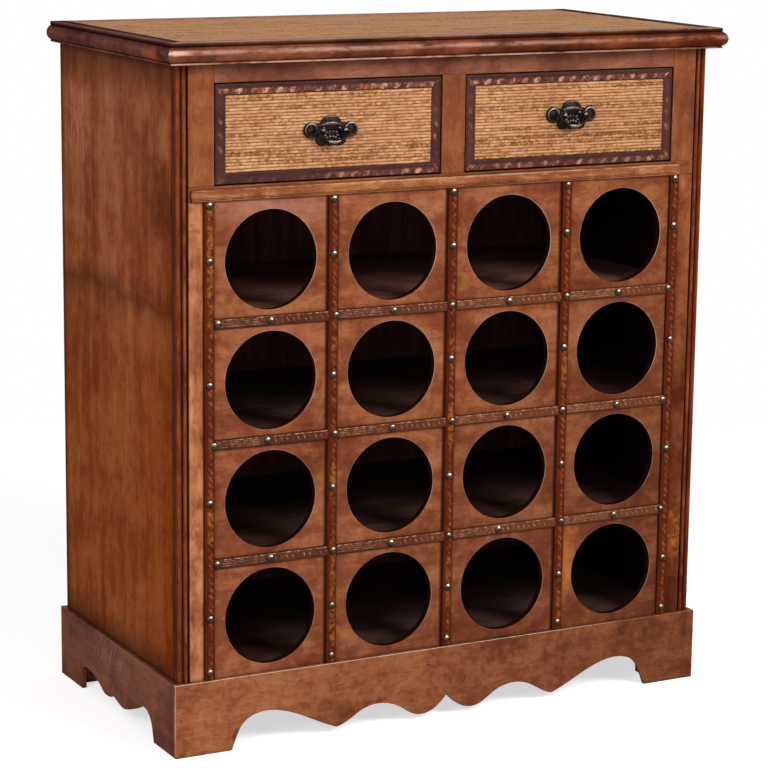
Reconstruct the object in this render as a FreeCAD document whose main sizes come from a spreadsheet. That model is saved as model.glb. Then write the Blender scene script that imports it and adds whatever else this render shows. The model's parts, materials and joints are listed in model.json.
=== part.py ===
import FreeCAD, Part
import Sketcher
import math
import os
import re

# Wine trunk: a small cabinet with sixteen round bottle holes under two drawers.
# X runs along the front, +Y to the back, Z up, and the origin is the middle of
# the footprint, on the floor.

doc = FreeCAD.newDocument("wine_trunk")

# Driving sizes

SIZES = {
    "body_width": (693, "across the two side panels"),
    "body_depth": (346, "face of the front frame to the back of the side panels"),
    "body_clearance": (45, "floor to the underside of the side panels"),
    "side_thickness": (18, "side panel"),
    "corner_post": (15, "square post that the corner bead is cut on"),
    "bead_diameter": (6.4, "round bead on the outer corner of the post"),
    "reed_diameter": (5.8, "round reed beside the bead, on both faces of the post"),
    "reed_gap": (0.8, "bead to reed"),
    "quirk_depth": (3, "grooves between the bead, the reeds and the boards beside the post"),
    "back_thickness": (6, "back panel, let into rebates"),
    "back_rebate": (9, "width of the rebate in each side panel"),
    "frame_thickness": (15, "stiles, rails and mullion round the drawers"),
    "rack_thickness": (10, "board with the bottle holes, and the stiles beside it"),
    "rack_margin": (38.5, "side of the cabinet to the side of the rack board"),
    "row_pitch": (137.9, "bottle hole to bottle hole, up"),
    "hole_diameter": (113.4, "bottle hole"),
    "shelf_thickness": (12, "bottle shelf"),
    "floor_thickness": (15, "bottom board"),
    "floor_step": (3.6, "top of the bottom board above the plinth"),
    "plinth_height": (87, "floor to the top of the plinth"),
    "plinth_thickness": (6, "plinth board"),
    "front_foot": (70.5, "width of the plinth's feet at the front and the back"),
    "front_arch": (41.6, "highest point of the front apron's cut"),
    "side_front_foot": (64, "front foot of the side apron"),
    "side_back_foot": (70, "back foot of the side apron"),
    "side_arch": (34.4, "highest point of the side apron's cut"),
    "back_arch": (40, "height of the straight cut at the back"),
    "back_arch_radius": (12, "corners of the straight cut at the back"),
    "foot_block": (45, "square corner block inside the plinth"),
    "base_rail_thickness": (18, "rail behind the front apron"),
    "mid_rail_height": (16.3, "rail between rack and drawers"),
    "stile_width": (46, "side of the cabinet to the drawer opening"),
    "opening_height": (113.7, "drawer opening"),
    "mullion_width": (30, "post between the drawers"),
    "top_rail_height": (21.4, "rail over the drawers"),
    "partition_thickness": (12, "board between the drawers"),
    "guide_height": (20, "strips that the drawers run between"),
    "kicker_overlap": (12, "kicker over each drawer side"),
    "moulding_frame": (21, "flat of the top moulding, inside its upper fillet"),
    "moulding_nose": (5.2, "reach of the rounded nose beyond the fillets"),
    "upper_fillet": (4.8, "height of the flat above the nose"),
    "nose_height": (16.8, "height of the nose"),
    "lower_fillet": (2.8, "height of the flat below the nose"),
    "top_side_overhang": (11.8, "side panel to the moulding's fillet"),
    "top_front_overhang": (15.3, "front frame to the moulding's fillet"),
    "top_weave_thickness": (3, "woven sheet let into the top"),
    "strip_width": (13, "leather strip on the rack board"),
    "cross_strip_width": (12, "leather strip between two uprights"),
    "strip_thickness": (3.5, "leather strip"),
    "strip_easing": (1, "eased long edges of a strip"),
    "mid_strip_height": (13, "proud strip along the middle rail"),
    "mid_strip_left_end": (2.5, "left corner bead to the end of that strip"),
    "mid_strip_right_end": (18.5, "right corner bead to its other end"),
    "nail_diameter": (9, "domed nail head"),
    "nail_height": (2.6, "domed nail head"),
    "nail_low_margin": (9, "lower end of an upright strip to the middle of its lowest nail"),
    "nail_high_margin": (4.7, "upper end of an upright strip to the middle of its highest nail"),
    "drawer_gap": (1.2, "drawer front to the opening, each side"),
    "drawer_recess": (1, "face of the frame to the face of the drawer"),
    "face_thickness": (3, "leather border and woven panel on the drawer"),
    "border_width": (13, "leather border round the woven panel"),
    "drawer_front_thickness": (12, "board of the drawer front"),
    "drawer_side_thickness": (10, "side and back of the drawer box"),
    "drawer_side_drop": (10, "top of the drawer front to the top of its sides"),
    "drawer_bottom_thickness": (4, "bottom of the drawer box"),
    "drawer_groove": (5, "depth of the grooves that hold the bottom"),
    "drawer_bottom_raise": (6, "underside of the sides to the bottom"),
    "drawer_rest": (0.3, "play behind and under the closed drawer"),
    "plate_thickness": (2.5, "cast plate of the pull"),
    "ear_diameter": (18, "round ear at each end of the plate"),
    "ear_spacing": (50, "ear to ear"),
    "ear_rim_width": (2.4, "raised rim round each ear"),
    "ear_rim_height": (1.2, "raised rim round each ear"),
    "boss_diameter": (7, "small round boss inside the rim"),
    "crest_diameter": (17, "round crest of the plate"),
    "plate_rise": (16.3, "line of the ears to the top of the crest"),
    "shoulder_diameter": (30, "round middle of the plate"),
    "shoulder_drop": (2, "line of the ears to the middle of that round"),
    "foot_diameter": (12, "rounded lower corners of the plate"),
    "foot_spacing": (22, "corner to corner"),
    "plate_fall": (17.8, "line of the ears to the lower edge of the plate"),
    "right_pull_raise": (5.3, "the right pull sits that much above the middle of its drawer"),
    "post_spacing": (28, "post to post"),
    "post_diameter": (4, "threaded post through the drawer front"),
    "post_clearance": (0.2, "post in its holes, all round"),
    "post_head": (7.2, "ball head of the post"),
    "post_reach": (7, "plate to the middle of the ball head"),
    "nut_width": (8, "square nut inside the drawer"),
    "nut_thickness": (3, "square nut inside the drawer"),
    "bail_diameter": (4, "bar of the bail"),
    "bail_pin": (2.4, "pin at each end of the bail"),
    "bail_pin_clearance": (0.08, "pin in the ball head, all round"),
    "bail_pin_depth": (2.2, "pin inside the ball head"),
    "bail_drop": (13, "pin to the middle of the grip"),
    "bail_arm_gap": (0.4, "ball head to the arm beside it"),
    "grip_diameter": (6.4, "swelling in the middle of the grip"),
    "overrun": (1, "how far a cut runs past the face it starts from"),
}
COLUMNS = 4
ROWS = 4

sheet = doc.addObject("Spreadsheet::Sheet", "Sizes")
for row, (alias, (size, note)) in enumerate(SIZES.items(), start=1):
    sheet.set("A%d" % row, str(size))
    sheet.setAlias("A%d" % row, alias)
    sheet.set("B%d" % row, note)
doc.recompute()

# Places worked out from the driving sizes

places = doc.addObject("App::VarSet", "Places")
PLACES = []


def cell(expression):
    """Each size or place named in the expression, as a reference to its cell."""
    def reference(match):
        word = match.group(0)
        if word in SIZES:
            return "Sizes." + word
        if word in PLACES:
            return "Places." + word
        return word
    return re.sub(r"[a-z][a-z_]+", reference, str(expression))


def place(name, expression):
    places.addProperty("App::PropertyFloat", name)
    places.setExpression(name, cell(expression))
    PLACES.append(name)


def size(name):
    """The number behind a driving size or a place."""
    if name in SIZES:
        return float(sheet.get(name))
    return float(getattr(places, name))


place("half_width", "body_width / 2")
place("inner_half", "half_width - side_thickness")
place("post_inner", "half_width - corner_post")
place("top_reach", "top_front_overhang + moulding_nose")
place("overall_depth", "top_reach + body_depth + plinth_thickness")
place("front", "top_reach - overall_depth / 2")
place("frame_back", "front + frame_thickness")
place("rack_back", "front + rack_thickness")
place("post_back", "front + corner_post")
place("back", "front + body_depth")
place("back_panel_front", "back - back_thickness")
place("rack_half", "half_width - rack_margin")
place("column_pitch", "rack_half * 2 / %d" % COLUMNS)
place("floor_top", "plinth_height + floor_step")
place("floor_bottom", "floor_top - floor_thickness")
place("shelf_line", "floor_top - shelf_thickness / 2")
place("deck_bottom", "shelf_line + row_pitch * %d" % ROWS)
place("deck_top", "deck_bottom + mid_rail_height")
place("opening_top", "deck_top + opening_height")
place("body_top", "opening_top + top_rail_height")
place("moulding_height", "upper_fillet + nose_height + lower_fillet")
place("top", "body_top + moulding_height")
place("opening_near", "mullion_width / 2")
place("opening_far", "half_width - stile_width")
place("plinth_half", "half_width + plinth_thickness")
place("plinth_front", "front - plinth_thickness")
place("plinth_back", "back + plinth_thickness")
place("moulding_width", "moulding_frame + moulding_nose")
place("top_inner_half", "half_width + top_side_overhang - moulding_frame")
place("top_inner_front", "front - top_front_overhang + moulding_frame")
place("top_inner_back", "back - moulding_frame")
place("strip_face", "front - strip_thickness")
place("drawer_face", "front + drawer_recess")
place("drawer_board_front", "drawer_face + face_thickness")
place("drawer_board_back", "drawer_board_front + drawer_front_thickness")
place("drawer_end", "back_panel_front - drawer_rest")
place("drawer_low", "deck_top + drawer_gap")
place("drawer_high", "opening_top - drawer_gap")
place("drawer_runner", "deck_top + drawer_rest")
place("drawer_side_high", "drawer_high - drawer_side_drop")
place("drawer_near", "opening_near + drawer_gap")
place("drawer_far", "opening_far - drawer_gap")
place("drawer_middle", "(drawer_near + drawer_far) / 2")
place("drawer_line", "(drawer_low + drawer_high) / 2")
place("pull_height_left", "drawer_line")
place("pull_height_right", "drawer_line + right_pull_raise")
place("plate_face", "drawer_face - plate_thickness")
place("pivot_line", "plate_face - post_reach")
place("bail_half", "(post_spacing + post_head + bail_diameter) / 2 + bail_arm_gap")
place("hole_in_wood", "post_diameter + post_clearance * 2")
doc.recompute()

# Helpers

SUBPARTS = {}


def bind(thing, **expressions):
    for name, expression in expressions.items():
        thing.setExpression(name.replace("__", "."), cell(expression))


def put(thing, x="0", y="0", z="0"):
    bind(thing, Placement__Base__x=x, Placement__Base__y=y, Placement__Base__z=z)


def subpart(name, thing):
    """The finished sub-part, under the name of its file."""
    thing.Label = name
    SUBPARTS[name] = thing
    return thing


def box(name, x, y, z):
    """A block between two places along each axis."""
    block = doc.addObject("Part::Box", name)
    bind(block, Length="%s - (%s)" % (x[1], x[0]), Width="%s - (%s)" % (y[1], y[0]),
         Height="%s - (%s)" % (z[1], z[0]))
    put(block, x[0], y[0], z[0])
    return block


def board(name, x, y, z):
    return subpart(name, box(name, x, y, z))


def cylinder(name, diameter, length, x, y, z, axis=(0, 0, 1)):
    """A round bar from a point, along an axis."""
    bar = doc.addObject("Part::Cylinder", name)
    bind(bar, Radius="(%s) / 2" % diameter, Height=length)
    turned = FreeCAD.Rotation(FreeCAD.Vector(0, 0, 1), FreeCAD.Vector(*axis))
    bar.Placement = FreeCAD.Placement(FreeCAD.Vector(), turned)
    put(bar, x, y, z)
    return bar


def cut(name, base, *tools):
    """The base with every tool taken out."""
    result = base
    for number, tool in enumerate(tools):
        step = doc.addObject("Part::Cut", "%s_cut_%d" % (name, number))
        step.Base = result
        step.Tool = tool
        result = step
    return result


def fuse(name, pieces):
    joined = doc.addObject("Part::MultiFuse", name)
    joined.Shapes = pieces
    joined.Refine = True
    return joined


def common(name, first, second):
    shared = doc.addObject("Part::Common", name)
    shared.Base = first
    shared.Tool = second
    return shared


def group(name, pieces):
    """Several separate solids that make one sub-part."""
    together = doc.addObject("Part::Compound", name)
    together.Links = pieces
    return subpart(name, together)


def sides():
    return (("left", -1), ("right", 1))


def span(sign, near, far):
    """Two distances from the middle, as a range along X on the left or the right."""
    if sign > 0:
        return near, far
    return "-(%s)" % far, "-(%s)" % near


def plane(body, role):
    for feature in body.Origin.OriginFeatures:
        if feature.Role == role:
            return feature
    raise ValueError(role)


def new_body(name):
    return doc.addObject("PartDesign::Body", name)


def new_sketch(body, name, role):
    sketch = body.newObject("Sketcher::SketchObject", name)
    sketch.AttachmentSupport = [(plane(body, role), "")]
    sketch.MapMode = "FlatFace"
    return sketch


def locate(sketch, geometry, point, name, x, y):
    """Both distances of a sketch point from the origin, bound to named sizes."""
    for kind, axis, expression in (("DistanceX", -2, x), ("DistanceY", -1, y)):
        if expression == "0":
            sketch.addConstraint(Sketcher.Constraint("PointOnObject", geometry, point, axis))
            continue
        here = sketch.getPoint(geometry, point)
        number = here.x if kind == "DistanceX" else here.y
        index = sketch.addConstraint(Sketcher.Constraint(kind, -1, 1, geometry, point, number))
        label = "%s_%s" % (name, kind[-1].lower())
        sketch.renameConstraint(index, label)
        sketch.setExpression("Constraints." + label, cell(expression))


def join_up(sketch, numbers):
    """Each piece of the outline starts where the one before it ends."""
    for index, number in enumerate(numbers):
        following = numbers[(index + 1) % len(numbers)]
        sketch.addConstraint(Sketcher.Constraint("Coincident", number, 2, following, 1))


def vector(x, y, z):
    return FreeCAD.Vector(x, y, z)


def turn_about_z(thing, degrees):
    thing.Placement = FreeCAD.Placement(vector(0, 0, 0), FreeCAD.Rotation(vector(0, 0, 1), degrees))


def eased_strip(name, x, z, lengthwise):
    """A strip on the front face with its two long front edges eased."""
    blank = box(name + "_blank", x, ("strip_face", "front"), z)
    doc.recompute()
    face = blank.Shape.BoundBox.YMin
    easing = size("strip_easing")
    long_edges = []
    for number, edge in enumerate(blank.Shape.Edges, start=1):
        start, end = [vertex.Point for vertex in edge.Vertexes]
        in_front = abs(start.y - face) + abs(end.y - face) < easing
        run = abs(end.x - start.x) if lengthwise == "x" else abs(end.z - start.z)
        if in_front and run > easing:
            long_edges.append((number, easing, easing))
    strip = doc.addObject("Part::Chamfer", name)
    strip.Base = blank
    strip.Edges = long_edges
    return strip


def many_sided(name, sides_round, diameter, length, x, y, z, axis):
    """A small round bar drawn with flat sides."""
    bar = doc.addObject("Part::Prism", name)
    bar.Polygon = sides_round
    bind(bar, Circumradius="(%s) / 2" % diameter, Height=length)
    turned = FreeCAD.Rotation(vector(0, 0, 1), vector(*axis))
    bar.Placement = FreeCAD.Placement(vector(0, 0, 0), turned)
    put(bar, x, y, z)
    return bar


def ring(centre, across, up, radius, sides_round):
    """The corners of a flat-sided ring round a centre."""
    corners = []
    for number in range(sides_round):
        angle = 2 * math.pi * number / sides_round
        corners.append(centre + across * (radius * math.cos(angle)) + up * (radius * math.sin(angle)))
    return corners


def flat_face(*corners):
    return Part.Face(Part.makePolygon(list(corners) + [corners[0]]))


def skin(rings, parallel):
    """A solid with flat faces through the rings. Between rings that aren't parallel they are triangles."""
    faces = [flat_face(*rings[0]), flat_face(*rings[-1])]
    for low, high in zip(rings, rings[1:]):
        for index in range(len(low)):
            corners = (low[index - 1], low[index], high[index], high[index - 1])
            if parallel:
                faces.append(flat_face(*corners))
            else:
                faces += [flat_face(*corners[:3]), flat_face(corners[2], corners[3], corners[0])]
    shell = Part.makeShell(faces)
    shell.sewShape()
    solid = Part.makeSolid(shell)
    if solid.Volume < 0:
        solid.reverse()
    return solid


def dome(radius, height_of_middle, angles, sides_round):
    """Rings of a ball that bulges towards the front, at the angles from its foremost point."""
    across, up = vector(1, 0, 0), vector(0, 0, 1)
    return skin([ring(vector(0, height_of_middle - radius * math.cos(angle), 0), across, up,
                      radius * math.sin(angle), sides_round) for angle in angles], True)


# Carcass

def side_panel(side, sign):
    """Side panel with a housing for each shelf and a rebate for the back."""
    name = "side_panel_" + side
    slab = box(name + "_slab", span(sign, "inner_half", "half_width"), ("post_back", "back"),
               ("body_clearance", "body_top"))
    housings = []
    inner = span(sign, "inner_half - overrun", "post_inner")
    deep = ("post_back - overrun", "back_panel_front")
    for number in range(1, ROWS):
        line = "(shelf_line + row_pitch * %d)" % number
        housings.append(box("%s_housing_%d" % (name, number), inner, deep,
                            (line + " - shelf_thickness / 2", line + " + shelf_thickness / 2")))
    housings.append(box(name + "_floor_housing", inner, deep, ("floor_bottom", "floor_top")))
    housings.append(box(name + "_deck_housing", inner, deep, ("deck_bottom", "deck_top")))
    rebate = box(name + "_rebate", span(sign, "inner_half - overrun", "inner_half + back_rebate"),
                 ("back_panel_front", "back + overrun"), ("floor_bottom", "body_top + overrun"))
    subpart(name, cut(name, slab, *housings, rebate))


BEAD_SIDES = 16


def corner_bead(side, sign):
    """Square post with a round bead on its outer corner and a reed on each side of it."""
    name = "corner_bead_" + side
    core = box(name + "_core", span(sign, "post_inner", "half_width - quirk_depth"),
               ("front + quirk_depth", "post_back"), ("body_clearance", "body_top"))

    def upright(label, diameter, inset, depth):
        x = "(half_width - (%s)) * (%d)" % (inset, sign)
        return many_sided("%s_%s" % (name, label), BEAD_SIDES, diameter, "body_top - body_clearance",
                          x, "front + " + depth, "body_clearance", (0, 0, 1))

    far = "bead_diameter + reed_gap + reed_diameter / 2"
    subpart(name, fuse(name, [core,
                              upright("bead", "bead_diameter", "bead_diameter / 2", "bead_diameter / 2"),
                              upright("front_reed", "reed_diameter", far, "reed_diameter / 2"),
                              upright("side_reed", "reed_diameter", "reed_diameter / 2", far)]))


for side, sign in sides():
    side_panel(side, sign)
    corner_bead(side, sign)
    board("stile_lower_" + side, span(sign, "rack_half", "post_inner"), ("front", "rack_back"),
          ("body_clearance", "deck_bottom"))
    board("stile_upper_" + side, span(sign, "opening_far", "post_inner"), ("front", "frame_back"),
          ("deck_top", "body_top"))

back_half = "inner_half + back_rebate"
board("back_panel", ("-(%s)" % back_half, back_half), ("back_panel_front", "back"),
      ("floor_bottom", "body_top"))
across = ("-post_inner", "post_inner")
board("bottom_board", across, ("rack_back", "back_panel_front"), ("floor_bottom", "floor_top"))
for number in range(1, ROWS):
    line = "(shelf_line + row_pitch * %d)" % number
    board("bottle_shelf_%d" % number, across, ("rack_back", "back_panel_front"),
          (line + " - shelf_thickness / 2", line + " + shelf_thickness / 2"))
board("drawer_deck", across, ("frame_back", "back_panel_front"), ("deck_bottom", "deck_top"))

# Frame round the drawers

board("mid_rail", across, ("front", "frame_back"), ("deck_bottom", "deck_top"))
board("top_rail", ("-opening_far", "opening_far"), ("front", "frame_back"), ("opening_top", "body_top"))
board("mullion", ("-opening_near", "opening_near"), ("front", "frame_back"), ("deck_top", "opening_top"))
partition_half = "partition_thickness / 2"
board("drawer_partition", ("-" + partition_half, partition_half), ("frame_back", "back_panel_front"),
      ("deck_top", "body_top"))

run_back = ("frame_back", "back_panel_front")
guides = []
kickers = []
for side, sign in sides():
    outer_guide = span(sign, "opening_far", "inner_half")
    inner_guide = span(sign, partition_half, "opening_near")
    for place_name, reach in (("outer", outer_guide), ("inner", inner_guide)):
        guides.append(box("guide_%s_%s" % (place_name, side), reach, run_back,
                          ("deck_top", "deck_top + guide_height")))
    outer_kicker = span(sign, "opening_far - kicker_overlap", "inner_half")
    inner_kicker = span(sign, partition_half, "opening_near + kicker_overlap")
    for place_name, reach in (("outer", outer_kicker), ("inner", inner_kicker)):
        kickers.append(box("kicker_%s_%s" % (place_name, side), reach, run_back,
                           ("opening_top", "body_top")))
group("drawer_guides", guides)
group("drawer_kickers", kickers)

# Rack board: sixteen round holes through one board

def line_between(sketch, corners, name):
    """A closed outline through corners whose places are named sizes."""
    numbers = []
    for index, (start, end) in enumerate(zip(corners, corners[1:] + corners[:1])):
        segment = Part.LineSegment(vector(start[2], start[3], 0), vector(end[2], end[3], 0))
        numbers.append(sketch.addGeometry(segment, False))
    join_up(sketch, numbers)
    for index, number in enumerate(numbers):
        locate(sketch, number, 1, "%s_%d" % (name, index), corners[index][0], corners[index][1])


def rack_front():
    body = new_body("rack_front_board")
    outline = new_sketch(body, "rack_outline", "XZ_Plane")
    half = size("rack_half")
    low, high = size("floor_bottom"), size("deck_bottom")
    corners = [("-rack_half", "floor_bottom", -half, low),
               ("rack_half", "floor_bottom", half, low),
               ("rack_half", "deck_bottom", half, high),
               ("-rack_half", "deck_bottom", -half, high)]
    line_between(outline, corners, "corner")
    pad = body.newObject("PartDesign::Pad", "rack_pad")
    pad.Profile = outline
    pad.Reversed = True
    bind(pad, Length="rack_thickness")
    doc.recompute()
    solid = body.Shape.Volume
    holes = new_sketch(body, "bottle_holes", "XZ_Plane")
    for row in range(ROWS):
        for column in range(COLUMNS):
            x = "column_pitch * %s" % (column - (COLUMNS - 1) / 2)
            z = "shelf_line + row_pitch * %s" % (row + 1 / 2)
            centre = vector(size("column_pitch") * (column - (COLUMNS - 1) / 2),
                            size("shelf_line") + size("row_pitch") * (row + 1 / 2), 0)
            circle = holes.addGeometry(Part.Circle(centre, vector(0, 0, 1), size("hole_diameter") / 2), False)
            name = "hole_%d_%d" % (row, column)
            locate(holes, circle, 3, name, x, z)
            index = holes.addConstraint(Sketcher.Constraint("Diameter", circle, size("hole_diameter")))
            holes.renameConstraint(index, name + "_diameter")
            holes.setExpression("Constraints.%s_diameter" % name, cell("hole_diameter"))
    bore = body.newObject("PartDesign::Pocket", "bottle_bores")
    bore.Profile = holes
    bore.Type = "ThroughAll"
    bore.Reversed = False
    doc.recompute()
    if body.Shape.Volume > solid - COLUMNS * ROWS * size("rack_thickness"):
        bore.Reversed = True
    bind(body, Placement__Base__y="front")
    subpart("rack_front_board", body)


rack_front()

# Leather strips and nails on the rack board

# Upright strips from left to right, as shares of the column pitch from the middle
STRIP_PLACE_SHARES = [-2, -1, 0, 1, 1.98]
for number, share in enumerate(STRIP_PLACE_SHARES, start=1):
    middle = "column_pitch * %s" % share
    subpart("upright_strip_%d" % number,
            eased_strip("upright_strip_%d" % number,
                        (middle + " - strip_width / 2", middle + " + strip_width / 2"),
                        ("plinth_height", "deck_bottom"), "z"))
lengths = []
for row in range(1, ROWS):
    line = "shelf_line + row_pitch * %d" % row
    height = (line + " - cross_strip_width / 2", line + " + cross_strip_width / 2")
    for column in range(COLUMNS):
        left = "column_pitch * %s + strip_width / 2" % STRIP_PLACE_SHARES[column]
        right = "column_pitch * %s - strip_width / 2" % STRIP_PLACE_SHARES[column + 1]
        lengths.append(eased_strip("cross_strip_%d_%d" % (row, column), (left, right), height, "x"))
group("cross_strips", lengths)
mid_strip_reach = ("-(post_inner - mid_strip_left_end)", "post_inner - mid_strip_right_end")
mid_strip_height = ("deck_bottom", "deck_bottom + mid_strip_height")
subpart("mid_strip", eased_strip("mid_strip", mid_strip_reach, mid_strip_height, "x"))


# Hand-set nails. Up each upright strip, a nail per row: shares of the row from its lower strip line
NAIL_RISE_SHARES = [(0.543, 0.52, 0.5, 0.518), (0.519, 0.544, 0.5, 0.51), (0.542, 0.524, 0.545, 0.507),
                    (0.519, 0.518, 0.555, 0.559), (0.546, 0.551, 0.541, 0.555)]
# Along each row of cross strips, from the lowest row up: shares of the column pitch from the middle
NAIL_ROW_SHARES = [(-1.94, -1.51, -0.992, -0.5, 0, 0.444, 1.012, 1.5, 1.945),
                   (-1.97, -1.533, -0.984, -0.5, 0.015, 0.5, 1, 1.5, 1.93),
                   (-1.934, -1.509, -0.98, -0.495, 0, 0.5, 1.016, 1.486, 1.945)]


def nail_places():
    """Middle of every nail head, left to right and bottom to top."""
    column, pitch, line = size("column_pitch"), size("row_pitch"), size("shelf_line")
    low = size("plinth_height") + size("nail_low_margin")
    high = size("deck_bottom") - size("nail_high_margin")
    found = []
    for share, rises in zip(STRIP_PLACE_SHARES, NAIL_RISE_SHARES):
        x = column * share
        found += [(x, low), (x, high)]
        found += [(x, line + pitch * (row + rise)) for row, rise in enumerate(rises)]
    for row, along in enumerate(NAIL_ROW_SHARES, start=1):
        found += [(column * share, line + pitch * row) for share in along]
    return found


NAIL_SIDES = 8
NAIL_ANGLE_SHARES = (0.3, 0.68, 1)


def strip_nails():
    """Domed heads, each a slice of a ball that sits on its strip."""
    reach, height = size("nail_diameter") / 2, size("nail_height")
    ball = (reach * reach + height * height) / (2 * height)
    edge_angle = math.acos((ball - height) / ball)
    head = dome(ball, ball - height, [edge_angle * share for share in NAIL_ANGLE_SHARES], NAIL_SIDES)
    nails = doc.addObject("Part::Feature", "strip_nails")
    nails.Shape = Part.makeCompound([head.translated(vector(x, 0, z)) for x, z in nail_places()])
    put(nails, "0", "strip_face", "0")
    subpart("strip_nails", nails)


strip_nails()

# Plinth with scalloped aprons

# From the foot inwards: shares of the half span between the feet, and of the arch height
FRONT_ARCH_SHARES = [(1, 0), (0.979, 0.38), (0.947, 0.75), (0.894, 0.955), (0.837, 1), (0.741, 0.865),
                     (0.631, 0.53), (0.521, 0.2)]
FRONT_LOBE_SHARES = [(0.521, 0.2), (0.457, 0.385), (0.401, 0.6), (0.333, 0.7), (0.273, 0.645), (0.22, 0.48),
                     (0.17, 0.26), (0.124, 0.178), (0.075, 0.245), (0.033, 0.43), (0, 0.66)]
# From the front foot to the back one: shares of the span between them, and of the arch height
SIDE_FRONT_SHARES = [(0, 0), (0.016, 0.35), (0.04, 0.72), (0.085, 0.945), (0.125, 1), (0.223, 0.79),
                     (0.339, 0.5), (0.406, 0.4), (0.475, 0.445), (0.556, 0.59)]
SIDE_BACK_SHARES = [(0.556, 0.59), (0.58, 0.49), (0.625, 0.425), (0.679, 0.442), (0.732, 0.593),
                    (0.795, 0.762), (0.853, 0.866), (0.911, 0.9), (0.955, 0.885)]
SIDE_CORNER_SHARES = [(0.955, 0.885), (0.987, 0.8), (1, 0.58)]


def curve(points):
    spline = Part.BSplineCurve()
    spline.interpolate(points)
    return spline.toShape()


def front_apron():
    """The lower edge has two arches, two hanging lobes and a point between them."""
    half, height, arch = size("plinth_half"), size("plinth_height"), size("front_arch")
    reach = half - size("front_foot")
    edges = []
    for sign in (-1, 1):
        arches = [vector(sign * reach * x, 0, arch * z) for x, z in FRONT_ARCH_SHARES]
        lobes = [vector(sign * reach * x, 0, arch * z) for x, z in FRONT_LOBE_SHARES]
        edges += [curve(arches), curve(lobes)]
        edges.append(Part.makeLine(vector(sign * reach, 0, 0), vector(sign * half, 0, 0)))
        edges.append(Part.makeLine(vector(sign * half, 0, 0), vector(sign * half, 0, height)))
    edges.append(Part.makeLine(vector(-half, 0, height), vector(half, 0, height)))
    face = Part.Face(Part.Wire(Part.__sortEdges__(edges)))
    apron = doc.addObject("Part::Feature", "plinth_front")
    apron.Shape = face.extrude(vector(0, size("plinth_thickness"), 0))
    put(apron, "0", "plinth_front", "0")
    subpart("plinth_front", apron)


def side_apron(side, sign):
    """The lower edge has an arch, two lobes of unequal depth and a second arch."""
    height, arch = size("plinth_height"), size("side_arch")
    length = size("body_depth") + size("plinth_thickness")
    start = size("side_front_foot") - size("plinth_thickness")
    end = length - size("side_back_foot")
    reach = end - start

    def points(shares):
        return [vector(0, start + reach * y, arch * z) for y, z in shares]

    corner = points(SIDE_CORNER_SHARES)
    edges = [curve(points(SIDE_FRONT_SHARES)), curve(points(SIDE_BACK_SHARES)), Part.Arc(*corner).toShape(),
             Part.makeLine(corner[-1], vector(0, end, 0)),
             Part.makeLine(vector(0, end, 0), vector(0, length, 0)),
             Part.makeLine(vector(0, length, 0), vector(0, length, height)),
             Part.makeLine(vector(0, length, height), vector(0, 0, height)),
             Part.makeLine(vector(0, 0, height), vector(0, 0, 0)),
             Part.makeLine(vector(0, 0, 0), vector(0, start, 0))]
    face = Part.Face(Part.Wire(Part.__sortEdges__(edges)))
    name = "plinth_" + side
    apron = doc.addObject("Part::Feature", name)
    apron.Shape = face.extrude(vector(sign * size("plinth_thickness"), 0, 0))
    put(apron, "half_width" if sign > 0 else "-half_width", "front", "0")
    subpart(name, apron)


front_apron()
side_apron("left", -1)
side_apron("right", 1)


def back_apron():
    """Plain board with a straight cut between the feet."""
    slab = box("plinth_back_slab", ("-half_width", "half_width"), ("back", "plinth_back"),
               ("0", "plinth_height"))
    through = ("back - overrun", "plinth_back + overrun")
    reach = "half_width - front_foot"
    opening = box("plinth_back_opening", ("-(%s)" % reach, reach), through,
                  ("-overrun", "back_arch - back_arch_radius"))
    inner = "%s - back_arch_radius" % reach
    upper = box("plinth_back_upper", ("-(%s)" % inner, inner), through, ("-overrun", "back_arch"))
    rounds = [cylinder("plinth_back_round_" + side, "back_arch_radius * 2", "plinth_thickness + overrun * 2",
                       inner if sign > 0 else "-(%s)" % inner, "plinth_back + overrun",
                       "back_arch - back_arch_radius", (0, -1, 0)) for side, sign in sides()]
    subpart("plinth_back", cut("plinth_back", slab, opening, upper, *rounds))


back_apron()
board("base_rail", ("-rack_half", "rack_half"), ("front", "front + base_rail_thickness"),
      ("body_clearance", "floor_bottom"))
blocks = []
for side, sign in sides():
    reach = span(sign, "half_width - foot_block", "half_width")
    for end, along in (("front", ("front", "front + foot_block")), ("back", ("back - foot_block", "back"))):
        blocks.append(box("foot_block_%s_%s" % (end, side), reach, along, ("0", "body_clearance")))
group("foot_blocks", blocks)

# Top

board("top_board", ("-top_inner_half", "top_inner_half"), ("top_inner_front", "top_inner_back"),
      ("body_top", "top - top_weave_thickness"))
board("top_weave", ("-top_inner_half", "top_inner_half"), ("top_inner_front", "top_inner_back"),
      ("top - top_weave_thickness", "top"))
board("top_back_rail", ("-top_inner_half", "top_inner_half"), ("top_inner_back", "back"), ("body_top", "top"))


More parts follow.
